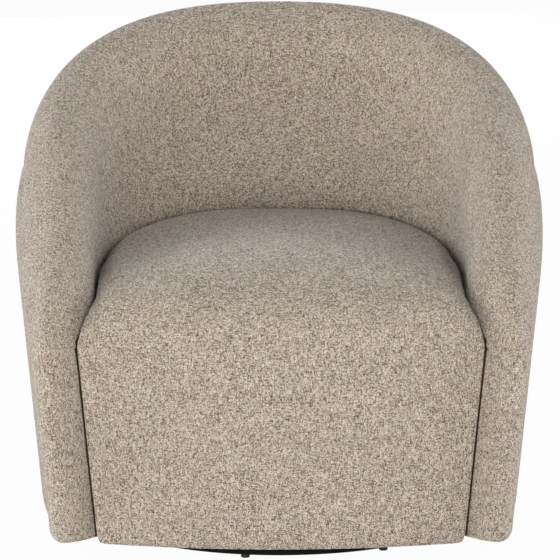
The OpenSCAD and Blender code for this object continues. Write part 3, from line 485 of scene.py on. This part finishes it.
def frontness(p):
    return toward_corner(p[1]) if p[0] == "shell" else 1.0


def sideness(p):
    return smooth((abs(p[1]) - BACK_END) / (SIDE_START - BACK_END))


def edge_roll(p):
    """Reach of the close points of a column, in from the edge."""
    if p[0] == "front":
        return FRONT_ROLL_L + (CORNER_REACH - FRONT_ROLL_L) * p[1] * p[1]
    return SIDE_ROLL + (CORNER_REACH - SIDE_ROLL) * frontness(p)


def side_station(y):
    """Station beside a point of the seat in front of the middle."""
    return 1 - y / ARM_ROUND_START if -y < ARM_ROUND_START else cap_v(min(-y, CORNER_Y))


def side_w(y):
    """Half width of the seat between the arms, at the height of its side seam."""
    v = side_station(y)
    return place(v, -in_flat(v, SEAT_SIDE_Z) - seat_gap(v), SEAT_SIDE_Z)[0]


CORNER_X = seat_side_x(SEAT_SIDE_Z)


def round_drop(d, depth, height):
    """Fall of a rounded edge at a distance in from it."""
    return round_in(1 - d / depth, height)


def front_drop(q):
    """Fall of the top over the rounded front."""
    k = min(1.0, abs(q[0]) / CORNER_X) ** 2
    return round_drop(q[1] - bow_y(q[0]), FRONT_ROLL_L + (CORNER_FALL - FRONT_ROLL_L) * k,
                      FRONT_ROLL_H + (CORNER_DROP - FRONT_ROLL_H) * k)


def from_edge(e, t):
    """Point at a share of the way from an edge point to the middle."""
    return CENTRE[0] + (e[0] - CENTRE[0]) * (1 - t), CENTRE[1] + (e[1] - CENTRE[1]) * (1 - t)


def to_centre(q):
    return math.hypot(q[0] - CENTRE[0], q[1] - CENTRE[1])


def moved_in(q, distance):
    return from_edge(q, distance / to_centre(q))


def top_z(p, t):
    """Height of the seat top at a share of the way from the edge to the middle."""
    e = seat_edge(p, SEAT_SIDE_Z)
    q = from_edge(e, t)
    rear = e[1] >= CENTRE[1]
    k = sideness(p) if rear else 1.0
    rise = SEAT_BACK_RISE + (SEAT_SIDE_RISE - SEAT_BACK_RISE) * k
    crown = SEAT_CROWN_Z - rise - SEAT_BACK_Z - (SEAT_SIDE_Z - SEAT_BACK_Z) * k
    if rear:
        n = outward(p[1])
        d, w = t * (n[0] * abs(e[0]) + n[1] * (e[1] - CENTRE[1])), 1 - t
    else:
        d = side_w(q[1]) - abs(q[0])
        w = q[0] / side_w(q[1])
    return SEAT_CROWN_Z - crown * w * w - round_drop(d, SIDE_ROLL, rise) - front_drop(q)


def edge_z(p):
    return top_z(p, 0.0)


# Columns along the back, the side, the arm's rounding and its front; at angles of a corner; along the front
BACK_COLUMNS = 60
SIDE_COLUMNS = 30
ROUND_COLUMNS = 6
ARM_FRONT_COLUMNS = 4
CORNER_STEPS = (15, 30, 45, 60, 75)
FRONT_COLUMNS = 60
seat_half = frange(0, 1, BACK_COLUMNS) + frange(1, 2, SIDE_COLUMNS)[1:]
seat_half += frange(2, COLUMN_V, ROUND_COLUMNS)[1:] + frange(COLUMN_START_V, SEAT_V, ARM_FRONT_COLUMNS)
seat_outline = [("shell", v) for v in mirrored(seat_half)] + [("corner", a) for a in CORNER_STEPS]
seat_outline += [("front", share) for share in frange(1, -1, FRONT_COLUMNS)]
seat_outline += [("corner", -a) for a in reversed(CORNER_STEPS)]
# Points of a column: to the rounded edge, over it, down the side, up the lining, and back under the top
TOP_N = 30
EDGE_N = 22
SIDE_N = 44
SEAT_LINING_N = 8
UNDER_SHARES = (0.75, 0.5, 0.25)
# The cover turns under at its hem, whose lower corners are rounded
HEM_ROUND = 7.0
HEM_TURN = 2.5
HEM_TURN_REACH = 4.0
# The edge beside the shell is drawn in; the top's fall counts double for the depth below the edge
TUCK = 1.0
TUCK_REACH = 6.0
TUCK_FALL = 2.0
# The lining beside the arm's rounding stays behind the front rail from here on
RAIL_LINING_V = COLUMN_V - (COLUMN_V - 2) / 4


def hem_lift(x):
    """The lower corners of the seat front are rounded."""
    return round_in((abs(x) - seat_side_x(SEAT_HEM_Z)) / HEM_ROUND + 1, HEM_ROUND)


def tuck(p, depth):
    """Draws the edge of the seat in beside the shell, so that the seam reads as a dark line."""
    return TUCK * math.exp(-(max(0.0, depth) / TUCK_REACH) ** 2) if p[0] == "shell" else 0.0


def seat_top(p, reach):
    """Point of the top at a distance in from the edge."""
    e = seat_edge(p, edge_z(p))
    t = min(1.0, reach / to_centre(e))
    return (*moved_in(from_edge(e, t), tuck(p, TUCK_FALL * reach)), top_z(p, t))


def make_seat():
    """Cover of the seat: crowned top, rounded front, and a front panel down to the hem."""
    columns = []
    for p in seat_outline:
        high = edge_z(p)
        roll = edge_roll(p)
        reaches = frange(to_centre(seat_edge(p, high)), roll, TOP_N)[1:]
        reaches += [roll * (1 - math.cos(math.radians(90 * (1 - i / EDGE_N)))) for i in range(1, EDGE_N + 1)]
        column = [seat_top(p, reach) for reach in reaches]
        front = p[0] != "shell" or abs(p[1]) > COLUMN_V
        low = SEAT_HEM_Z + hem_lift(seat_edge(p, SEAT_HEM_Z)[0]) if front else DECK_Z + RUN_GAP
        for z in frange(high, low, SIDE_N)[1:]:
            turn = HEM_TURN * math.exp(-((z - low) / HEM_TURN_REACH) ** 2) if front else 0
            column.append((*moved_in(seat_edge(p, z), turn + tuck(p, high - z)), z))
        x, y = moved_in(seat_edge(p, low), COVER_T)
        if front or abs(p[1]) > RAIL_LINING_V:
            y = min(y, -COLUMN_Y)
        under = max(high - COVER_T, FOAM_Z)
        column += [(x, y, z) for z in frange(low, under, SEAT_LINING_N)]
        for t in UNDER_SHARES:
            column.append((*from_edge((x, y), 1 - t), under + (SEAT_CROWN_Z - CROWN_T - under) * (1 - t)))
        columns.append(column)
    k, m = len(columns), len(columns[0])
    verts = [q for c in columns for q in c] + [(*CENTRE, SEAT_CROWN_Z), (*CENTRE, SEAT_CROWN_Z - CROWN_T)]
    faces = []
    for i in range(k):
        for j in range(m - 1):
            a, b = i * m + j, ((i + 1) % k) * m + j
            faces.append((a, a + 1, b + 1, b))
        a, b = i * m, ((i + 1) % k) * m
        faces += [(k * m, a, b), (k * m + 1, b + m - 1, a + m - 1)]
    obj = add_mesh("seat", verts, faces)
    face_outward(obj)
    return obj


class Mat:
    """A node material and short ways to add its nodes."""

    def __init__(self, name):
        self.m = bpy.data.materials.new(name)
        self.m.use_nodes = True
        self.t = self.m.node_tree
        self.bsdf = self.t.nodes["Principled BSDF"]
        self.out = self.t.nodes["Material Output"]

    def node(self, kind, **props):
        n = self.t.nodes.new(kind)
        for k, v in props.items():
            setattr(n, k, v)
        return n

    def link(self, a, b):
        self.t.links.new(a, b)

    def set(self, **values):
        for k, v in values.items():
            self.bsdf.inputs[k.replace("_", " ")].default_value = v

    def math(self, op, a, b=None, c=None):
        n = self.node("ShaderNodeMath", operation=op)
        for i, x in enumerate((a, b, c)):
            if x is None:
                continue
            if isinstance(x, (int, float)):
                n.inputs[i].default_value = x
            else:
                self.link(x, n.inputs[i])
        return n.outputs[0]

    def coords(self, scale=(1, 1, 1)):
        mp = self.node("ShaderNodeMapping")
        mp.inputs["Scale"].default_value = scale
        self.link(self.node("ShaderNodeTexCoord").outputs["Object"], mp.inputs[0])
        return mp.outputs[0]

    def noise(self, vec, scale, detail=2.0, rough=0.5, distortion=0.0):
        n = self.node("ShaderNodeTexNoise")
        n.inputs["Scale"].default_value = scale
        n.inputs["Detail"].default_value = detail
        n.inputs["Roughness"].default_value = rough
        n.inputs["Distortion"].default_value = distortion
        self.link(vec, n.inputs["Vector"])
        return n.outputs[0]

    def ramp(self, fac, stops):
        n = self.node("ShaderNodeValToRGB")
        e = n.color_ramp.elements
        while len(e) > 1:
            e.remove(e[-1])
        e[0].position, e[0].color = stops[0][0], (*stops[0][1], 1)
        for p, c in stops[1:]:
            x = e.new(p)
            x.color = (*c, 1)
        self.link(fac, n.inputs[0])
        return n.outputs[0]

    def mix(self, fac, a, b, blend="MIX"):
        n = self.node("ShaderNodeMix", data_type="RGBA", blend_type=blend)
        for sock, x in ((n.inputs[0], fac), (n.inputs[6], a), (n.inputs[7], b)):
            if isinstance(x, (int, float)):
                sock.default_value = x
            elif isinstance(x, tuple):
                sock.default_value = (*x, 1)
            else:
                self.link(x, sock)
        return n.outputs[2]

    def bump(self, height, strength, distance):
        n = self.node("ShaderNodeBump")
        n.inputs["Strength"].default_value = strength
        n.inputs["Distance"].default_value = distance
        self.link(height, n.inputs["Height"])
        return n.outputs[0]

    def color(self, sock):
        self.link(sock, self.bsdf.inputs["Base Color"])

    def rough(self, sock):
        self.link(sock, self.bsdf.inputs["Roughness"])

    def normal(self, sock):
        self.link(sock, self.bsdf.inputs["Normal"])


# Tweed: width of a yarn, lengths of a yarn and a slub, and sizes of the wander, the clouds and the patches
YARN = 0.00092
LONG_YARN = YARN * 6
SLUB = YARN * 8
SPECK = YARN * 1.3
CLOUD = 0.06
PATCH = 0.016
WANDER_SCALE = 70
WANDER = 0.002
YARN_TONES = [(0.0, (0.070, 0.050, 0.036)), (0.25, (0.226, 0.180, 0.142)), (0.5, (0.403, 0.334, 0.272)),
              (0.75, (0.548, 0.468, 0.392)), (1.0, (0.700, 0.622, 0.540))]
PATCH_TINTS = [(0.30, (1.000, 0.955, 0.970)), (0.45, (1.000, 0.990, 0.990)), (0.56, (0.990, 0.990, 0.945)),
               (0.70, (0.955, 0.990, 0.955))]
FUZZ_TONES = [(0.1, (0.04, 0.036, 0.032)), (0.5, (0.49, 0.46, 0.43)), (0.9, (1.0, 0.95, 0.89))]
# Painted shade: dark tones for the cloth deep inside the seam
PAINTED_SHADE_TONES = [(0.3, (0.045, 0.028, 0.017)), (0.7, (0.085, 0.056, 0.037))]


def tweed():
    """Heathered taupe tweed: slubby yarns along all three axes, with dark and pale flecks."""
    m = Mat("tweed")
    m.set(Roughness=0.95, Sheen_Weight=0.95, Sheen_Roughness=0.5, Specular_IOR_Level=0.15)
    o = m.coords()
    # the yarns wander a little
    wander = m.node("ShaderNodeTexNoise")
    wander.inputs["Scale"].default_value = WANDER_SCALE
    wander.inputs["Detail"].default_value = 1
    m.link(o, wander.inputs["Vector"])
    shift = m.node("ShaderNodeVectorMath", operation="MULTIPLY_ADD")
    m.link(wander.outputs["Color"], shift.inputs[0])
    shift.inputs[1].default_value = (WANDER, WANDER, WANDER)
    m.link(o, shift.inputs[2])

    def scaled(sizes, seed=0.0):
        v = m.node("ShaderNodeVectorMath", operation="MULTIPLY_ADD")
        m.link(shift.outputs[0], v.inputs[0])
        v.inputs[1].default_value = tuple(1 / c for c in sizes)
        v.inputs[2].default_value = (seed, seed * 1.7, seed * 2.3)
        return v.outputs[0]

    def cells(sizes, seed):
        """One random value for each length of yarn."""
        down = m.node("ShaderNodeVectorMath", operation="FLOOR")
        m.link(scaled(sizes, seed), down.inputs[0])
        white = m.node("ShaderNodeTexWhiteNoise", noise_dimensions="3D")
        m.link(down.outputs[0], white.inputs["Vector"])
        return white.outputs["Value"]

    def part(value, weight):
        return m.math("MULTIPLY", m.math("SUBTRACT", value, 0.5), weight)

    crossing = cells((YARN, YARN, YARN), 3.0)
    along_x = cells((LONG_YARN, YARN, YARN), 11.0)
    along_y = cells((YARN, LONG_YARN, YARN), 17.0)
    along_z = cells((YARN, YARN, LONG_YARN), 23.0)
    slub_x = m.noise(scaled((SLUB, YARN, YARN)), 1.0, 1.0)
    slub_z = m.noise(scaled((YARN, YARN, SLUB)), 1.0, 1.0)
    cloud = m.noise(o, 1 / CLOUD, 2.0)
    # dark and pale about a middle tone, and now and then a dark speck
    level = m.math("ADD", part(crossing, 1.00), 0.5)
    for value, weight in ((along_x, 0.48), (along_y, 0.48), (along_z, 0.48), (slub_x, 0.24), (slub_z, 0.24),
                          (cloud, 0.08)):
        level = m.math("ADD", level, part(value, weight))
    speck = m.math("GREATER_THAN", cells((SPECK, SPECK, SPECK), 41.0), 0.965)
    level = m.math("SUBTRACT", level, m.math("MULTIPLY", speck, 0.40))
    # patches of yarn lean a little to rose, to straw or to green
    hue = m.ramp(m.noise(o, 1 / PATCH, 1.0), PATCH_TINTS)
    m.color(m.mix(1.0, m.ramp(level, YARN_TONES), hue, "MULTIPLY"))
    m.link(m.ramp(level, FUZZ_TONES), m.bsdf.inputs["Sheen Tint"])
    height = m.math("ADD", m.math("MULTIPLY", crossing, 0.35), m.math("MULTIPLY", slub_x, 0.65))
    m.normal(m.bump(height, 0.60, 0.0008))
    return m.m


def painted_seam_shade():
    """The same cloth deep inside a seam, with shade painted into its colour, since hardly any light comes
    there.
    """
    m = Mat("tweed_painted_seam_shade")
    m.set(Roughness=1.0, Specular_IOR_Level=0.0)
    m.color(m.ramp(m.noise(m.coords(), 1 / YARN, 1.0), PAINTED_SHADE_TONES))
    return m.m


def painted():
    m = Mat("black_powder_coat")
    m.set(Roughness=0.5, Specular_IOR_Level=0.04)
    o = m.coords()
    n = m.noise(o, 900, 2)
    wear = m.noise(o, 35, 3)
    m.color(m.ramp(wear, [(0.3, (0.004, 0.004, 0.004)), (0.6, (0.007, 0.0065, 0.006)),
                          (0.8, (0.012, 0.011, 0.010))]))
    m.rough(m.math("MULTIPLY_ADD", wear, 0.25, 0.40))
    m.normal(m.bump(n, 0.25, 0.0004))
    return m.m


def zinc():
    m = Mat("zinc_plate")
    m.set(Metallic=1.0, Roughness=0.38)
    o = m.coords()
    n = m.noise(m.coords(scale=(1, 1, 6)), 260, 3)
    cloud = m.noise(o, 40, 3)
    m.color(m.ramp(cloud, [(0.3, (0.42, 0.43, 0.44)), (0.7, (0.62, 0.62, 0.61))]))
    m.rough(m.math("MULTIPLY_ADD", n, 0.25, 0.26))
    m.normal(m.bump(n, 0.12, 0.0003))
    return m.m


def spring_steel():
    m = Mat("oiled_spring_steel")
    m.set(Metallic=1.0, Roughness=0.34)
    n = m.noise(m.coords(), 160, 3)
    m.color(m.ramp(n, [(0.3, (0.10, 0.10, 0.105)), (0.7, (0.24, 0.235, 0.23))]))
    m.rough(m.math("MULTIPLY_ADD", n, 0.3, 0.22))
    m.normal(m.bump(n, 0.1, 0.0003))
    return m.m


def timber(name, stretch):
    m = Mat(name)
    m.set(Roughness=0.72, Specular_IOR_Level=0.3)
    o = m.coords(scale=stretch)
    rings = m.noise(o, 9, 4, 0.55, 0.8)
    fine = m.noise(m.coords(scale=tuple(s * 6 for s in stretch)), 40, 3)
    band = m.math("FRACT", m.math("MULTIPLY", rings, 9.0))
    tone = m.math("ADD", m.math("MULTIPLY", band, 0.65), m.math("MULTIPLY", fine, 0.35))
    m.color(m.ramp(tone, [(0.15, (0.60, 0.43, 0.25)), (0.6, (0.50, 0.33, 0.17)),
                          (0.95, (0.36, 0.22, 0.10))]))
    m.normal(m.bump(m.math("ADD", band, fine), 0.25, 0.0006))
    return m.m


def rubber():
    m = Mat("black_rubber")
    m.set(Roughness=0.7, Specular_IOR_Level=0.3)
    n = m.noise(m.coords(), 500, 2)
    m.color(m.ramp(n, [(0.3, (0.012, 0.012, 0.012)), (0.7, (0.024, 0.024, 0.024))]))
    m.normal(m.bump(n, 0.2, 0.0003))
    return m.m


def foam_mat():
    m = Mat("seat_foam")
    m.set(Roughness=0.95, Specular_IOR_Level=0.1, Sheen_Weight=0.1)
    o = m.coords()
    v = m.node("ShaderNodeTexVoronoi")
    v.inputs["Scale"].default_value = 700
    m.link(o, v.inputs["Vector"])
    cloud = m.noise(o, 12, 2)
    m.color(m.ramp(cloud, [(0.3, (0.80, 0.70, 0.42)), (0.7, (0.88, 0.80, 0.55))]))
    m.normal(m.bump(v.outputs["Distance"], 0.5, 0.001))
    return m.m


def cambric():
    m = Mat("black_cambric")
    m.set(Roughness=0.9, Specular_IOR_Level=0.2, Sheen_Weight=0.15)
    o = m.coords()
    fibres = m.noise(o, 900, 3, 0.7)
    cloud = m.noise(o, 120, 2)
    m.color(m.ramp(fibres, [(0.35, (0.008, 0.008, 0.009)), (0.7, (0.03, 0.03, 0.032))]))
    m.normal(m.bump(m.math("ADD", fibres, cloud), 0.4, 0.0004))
    return m.m


def jute():
    m = Mat("jute_webbing")
    m.set(Roughness=0.95, Specular_IOR_Level=0.1)
    o = m.coords()
    w = m.node("ShaderNodeTexWave", wave_type="BANDS", bands_direction="Z")
    w.inputs["Scale"].default_value = 120
    w.inputs["Distortion"].default_value = 1.5
    m.link(o, w.inputs["Vector"])
    n = m.noise(o, 300, 3)
    m.color(m.ramp(m.math("ADD", m.math("MULTIPLY", w.outputs[1], 0.5), m.math("MULTIPLY", n, 0.5)),
                   [(0.3, (0.16, 0.10, 0.05)), (0.7, (0.40, 0.28, 0.15))]))
    m.normal(m.bump(w.outputs[1], 0.5, 0.0008))
    return m.m


PAINTED_SEAM_SHADE = painted_seam_shade()
TWEED = tweed()
PAINT = painted()
ZINC = zinc()
SPRING = spring_steel()
RUBBER = rubber()
FOAM = foam_mat()
CAMBRIC = cambric()
JUTE = jute()
# The grain runs along the axis whose scale is small
GRAIN = 0.25
ACROSS = 3
PINE_X = timber("timber_along_x", (GRAIN, ACROSS, ACROSS))
PINE_Y = timber("timber_along_y", (ACROSS, GRAIN, ACROSS))
PINE_Z = timber("timber_along_z", (ACROSS, ACROSS, GRAIN))

# Solids that show as they are
SOLID_MATERIALS = (
    (PAINT, ("base_ring", "cross_bars", "plate_rivets", "king_pin", "cradle_plate", "cradle_rivets",
             "left_cheek", "right_cheek", "lower_spring_seats", "upper_spring_seats",
             "left_rocker_rail", "right_rocker_rail", "rocker_cross_bars")),
    (ZINC, ("king_nut", "lower_swivel_plate", "upper_swivel_plate", "ball_cage", "cradle_bolts",
            "pivot_bolts", "pivot_nuts", "pivot_bushes", "mount_bolts", "spring_clips")),
    (RUBBER, ("glides", "bump_stops")),
    (SPRING, ("bearing_balls", "seat_springs")),
    (PINE_X, ("base_board", "front_rail", "rear_rail", "deck_board", "top_rail")),
    (PINE_Y, ("left_mount_rail", "right_mount_rail", "left_side_rail", "right_side_rail")),
    (PINE_Z, ("corner_blocks", "lower_studs", "upper_studs")),
    (JUTE, ("back_webbing",)),
)
for material, names in SOLID_MATERIALS:
    for name in names:
        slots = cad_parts[name].data.materials
        slots.clear()
        slots.append(material)

# Covers: shade is painted into the seam beside the seat this far below the edge, this near to it, and not
# past the front
SEAM_EDGE = 4.0
SEAM_NEAR = 8.0
SEAM_FRONT_Y = 0.5 - CORNER_Y


def paint_seam_shade(obj):
    """Cloth inside the seam between the seat and the shell gets the dark material of painted shade."""
    back = [v for v in mirrored(seat_half) if abs(v) <= 1]
    line = np.array([seat_edge(("shell", v), SEAT_SIDE_Z) for v in back])
    centres = np.empty(len(obj.data.polygons) * 3)
    obj.data.polygons.foreach_get("center", centres)
    centres = centres.reshape(-1, 3) * 1000
    for i in np.nonzero((centres[:, 2] < SEAT_CROWN_Z) & (centres[:, 1] > SEAM_FRONT_Y))[0]:
        c = centres[i]
        if c[1] < 0:
            v = math.copysign(side_station(c[1]), c[0])
        else:
            v = back[int(np.hypot(line[:, 0] - c[0], line[:, 1] - c[1]).argmin())]
        p = ("shell", v)
        edge = seat_edge(p, min(c[2], SEAT_SIDE_Z))
        near = math.hypot(edge[0] - c[0], edge[1] - c[1]) < SEAM_NEAR
        if near and c[2] < edge_z(p) - SEAM_EDGE:
            obj.data.polygons[int(i)].material_index = 1


shell_in = make_inside()
shell_out = make_outside()
seat = make_seat()
for obj, node in ((shell_in, "inside_cover"), (shell_out, "outside_cover"), (seat, "seat_cover")):
    obj.data.materials.append(TWEED)
    if obj != shell_out:
        # the faces deep in the seam get painted shade
        obj.data.materials.append(PAINTED_SEAM_SHADE)
        paint_seam_shade(obj)
    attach(obj, "chair")
    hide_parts(node)


def soften(node, name, voxel):
    """Foam in the form of its solid, with softened edges."""
    obj = bpy.data.objects.new(name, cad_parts[node].data.copy())
    scene.collection.objects.link(obj)
    obj.data.materials.clear()
    remesh = obj.modifiers.new("remesh", "REMESH")
    remesh.mode = "VOXEL"
    remesh.voxel_size = voxel
    smoothing = obj.modifiers.new("smooth", "SMOOTH")
    smoothing.factor = 0.5
    smoothing.iterations = 4
    depsgraph = bpy.context.evaluated_depsgraph_get()
    mesh = bpy.data.meshes.new_from_object(obj.evaluated_get(depsgraph))
    obj.modifiers.clear()
    obj.data = mesh
    mesh.shade_smooth()
    mesh.materials.append(FOAM)
    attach(obj, "chair")
    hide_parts(node)


soften("seat_foam", "foam_block", voxel=0.006)
soften("front_foam", "foam_front", voxel=0.005)

# Coil springs of the rocker: their places, wire, and turns, of which the first and the last lie closed
SPRING_X = 100.0
SPRING_Y = 150.0
COIL_R = 17.0
COIL_WIRE = 2.8
COIL_LOW = 44.3
COIL_HIGH = 111.7
COIL_TURNS = 5
COIL_STEPS = 40
WIRE_SIDES = 14
CLOSED_GAP = 0.8
CLOSED_RISE = 2 * COIL_WIRE + CLOSED_GAP
OPEN_RISE = COIL_HIGH - COIL_LOW - 2 * COIL_WIRE - 2 * CLOSED_RISE


def coil_z(t):
    """Height of the wire's middle after t turns."""
    opened = min(1.0, max(0.0, (t - 1) / (COIL_TURNS - 2)))
    closed = min(1.0, t) + max(0.0, t - COIL_TURNS + 1)
    return COIL_LOW + COIL_WIRE + CLOSED_RISE * closed + OPEN_RISE * opened


def make_coil(node, cx, cy):
    """A coil spring that stretches between the cradle and the chair."""
    n = COIL_TURNS * COIL_STEPS
    verts, faces = [], []
    for i in range(n + 1):
        a = 2 * math.pi * i / COIL_STEPS
        for j in range(WIRE_SIDES):
            b = 2 * math.pi * j / WIRE_SIDES
            r = COIL_R + COIL_WIRE * math.cos(b)
            verts.append((cx + r * math.cos(a), cy + r * math.sin(a),
                          coil_z(i / COIL_STEPS) + COIL_WIRE * math.sin(b)))
    for i in range(n):
        for j in range(WIRE_SIDES):
            k = (j + 1) % WIRE_SIDES
            near, far = i * WIRE_SIDES, (i + 1) * WIRE_SIDES
            faces.append((near + j, far + j, far + k, near + k))
    faces.append(tuple(range(WIRE_SIDES)))
    faces.append(tuple(n * WIRE_SIDES + j for j in reversed(range(WIRE_SIDES))))
    obj = add_mesh(node + "_coil", verts, faces)
    face_outward(obj)
    obj.data.materials.append(SPRING)
    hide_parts(node)
    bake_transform(obj)


for y_sign, depth_name in ((-1, "front"), (1, "rear")):
    for x_sign, side_name in ((-1, "left"), (1, "right")):
        make_coil(f"{depth_name}_{side_name}_spring", x_sign * SPRING_X, y_sign * SPRING_Y)

# Dust cover: edges of its mesh that are longer than this, in metres, are halved a few times
DUST_EDGE = 0.03
DUST_HALVINGS = 3
FACING_DOWN = -0.9


def make_dust():
    """Black cambric under the frame, stapled flat to the base board."""
    obj = bpy.data.objects.new("dust_sheet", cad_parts["dust_cover"].data.copy())
    scene.collection.objects.link(obj)
    obj.data.materials.clear()
    bm = bmesh.new()
    bm.from_mesh(obj.data)
    bmesh.ops.triangulate(bm, faces=bm.faces)
    area = sum(f.calc_area() for f in bm.faces if f.normal.z < FACING_DOWN)
    for _ in range(DUST_HALVINGS):
        bmesh.ops.subdivide_edges(bm, edges=[e for e in bm.edges if e.calc_length() > DUST_EDGE], cuts=1)
        bmesh.ops.triangulate(bm, faces=bm.faces)
    bm.to_mesh(obj.data)
    bm.free()
    obj.data.materials.append(CAMBRIC)
    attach(obj, "chair")
    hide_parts("dust_cover")


make_dust()

# Floor and background: white to the camera, which sees them by these strengths, and dim to the object
FLOOR_SEEN = 0.965
BACKGROUND_SEEN = 0.96
BACKGROUND_LIGHT = 0.02
FLOOR_R = 30000.0
FLOOR_SIDES = 64


def stage_mat():
    m = Mat("studio_white")
    m.set(Base_Color=(0.82, 0.82, 0.82, 1), Roughness=0.9, Specular_IOR_Level=0.1)
    emit = m.node("ShaderNodeEmission")
    emit.inputs[0].default_value = (1, 1, 1, 1)
    emit.inputs[1].default_value = 1.0
    path = m.node("ShaderNodeLightPath")
    seen = path.outputs["Is Camera Ray"]
    for ray in ("Is Glossy Ray", "Is Transmission Ray"):
        seen = m.math("MAXIMUM", seen, path.outputs[ray])
    mixer = m.node("ShaderNodeMixShader")
    m.link(m.math("MULTIPLY", seen, FLOOR_SEEN), mixer.inputs[0])
    m.link(m.bsdf.outputs[0], mixer.inputs[1])
    m.link(emit.outputs[0], mixer.inputs[2])
    m.link(mixer.outputs[0], m.out.inputs[0])
    return m.m


around = [2 * math.pi * i / FLOOR_SIDES for i in range(FLOOR_SIDES)]
disc = [(FLOOR_R * math.cos(a), FLOOR_R * math.sin(a), 0) for a in around]
floor = add_mesh("floor", disc, [tuple(range(FLOOR_SIDES))])
floor.data.materials.append(stage_mat())


def studio_world():
    world = bpy.data.worlds.new("studio")
    scene.world = world
    world.use_nodes = True
    t = world.node_tree
    lit = t.nodes["Background"]
    lit.inputs[0].default_value = (1, 1, 1, 1)
    lit.inputs[1].default_value = BACKGROUND_LIGHT
    bare = t.nodes.new("ShaderNodeBackground")
    bare.inputs[0].default_value = (BACKGROUND_SEEN, BACKGROUND_SEEN, BACKGROUND_SEEN, 1)
    path = t.nodes.new("ShaderNodeLightPath")
    seen = path.outputs["Is Camera Ray"]
    for ray in ("Is Glossy Ray", "Is Transmission Ray"):
        either = t.nodes.new("ShaderNodeMath")
        either.operation = "MAXIMUM"
        t.links.new(seen, either.inputs[0])
        t.links.new(path.outputs[ray], either.inputs[1])
        seen = either.outputs[0]
    mixer = t.nodes.new("ShaderNodeMixShader")
    t.links.new(seen, mixer.inputs[0])
    t.links.new(lit.outputs[0], mixer.inputs[1])
    t.links.new(bare.outputs[0], mixer.inputs[2])
    t.links.new(mixer.outputs[0], t.nodes["World Output"].inputs[0])


studio_world()


def area_light(name, loc, size, power):
    data = bpy.data.lights.new(name, "AREA")
    data.shape = "RECTANGLE"
    data.size, data.size_y = size
    data.energy = power
    obj = bpy.data.objects.new(name, data)
    scene.collection.objects.link(obj)
    obj.location = loc
    obj.visible_camera = False
    obj.rotation_euler = (Vector(LIGHT_AIM) - Vector(loc)).to_track_quat("-Z", "Y").to_euler()


# Large soft panels: most of the light comes from low in front and from both sides
LIGHT_AIM = (0, 0, 0.4)
LIGHT_LEVEL = 1.14
PANEL = (2.0, 1.6)
LOW_PANEL = (2.0, 1.2)
for name, loc, size, power in (
        ("front_low", (0, -4.5, 0.62), LOW_PANEL, 94),
        ("left_low", (-3.6, -3.8, 0.8), PANEL, 34),
        ("left_mid", (-2.4, -4.4, 2.0), PANEL, 35),
        ("left_side", (-5.0, 0, 1.2), PANEL, 34),
        ("left_up_side", (-4.0, 0.5, 2.4), PANEL, 79),
        ("right_side", (5.0, 0, 1.2), PANEL, 77),
        ("right_up_side", (4.0, 0.5, 2.4), PANEL, 21),
        ("right_high", (3.5, -1.5, 3.5), PANEL, 42),
        ("rear_right", (2.5, 3.0, 3.0), PANEL, 18),
        ("rear_low", (-0.6, 5.0, 0.9), PANEL, 70)):
    area_light(name, loc, size, power * LIGHT_LEVEL)

# Camera: a long lens in front and above, in metres and degrees; its focal length is in pixels of the picture
CAM_DIST = 8.0
CAM_H = 1.954
CAM_SIDE = 0.0013
PITCH = math.radians(11.263)
YAW = math.radians(0.5)
FOCAL_PX = 5436.0
IMAGE_PX = 560.0
SENSOR_MM = 36.0
camera = bpy.data.objects.new("camera", bpy.data.cameras.new("camera"))
scene.collection.objects.link(camera)
camera.data.sensor_width = SENSOR_MM
camera.data.lens = FOCAL_PX / IMAGE_PX * SENSOR_MM
camera.data.clip_end = 100
camera.location = (CAM_SIDE - CAM_DIST * math.sin(YAW), -CAM_DIST * math.cos(YAW), CAM_H)
camera.rotation_euler = (math.pi / 2 - PITCH, 0, -YAW)
scene.camera = camera
scene.view_settings.view_transform = "Standard"
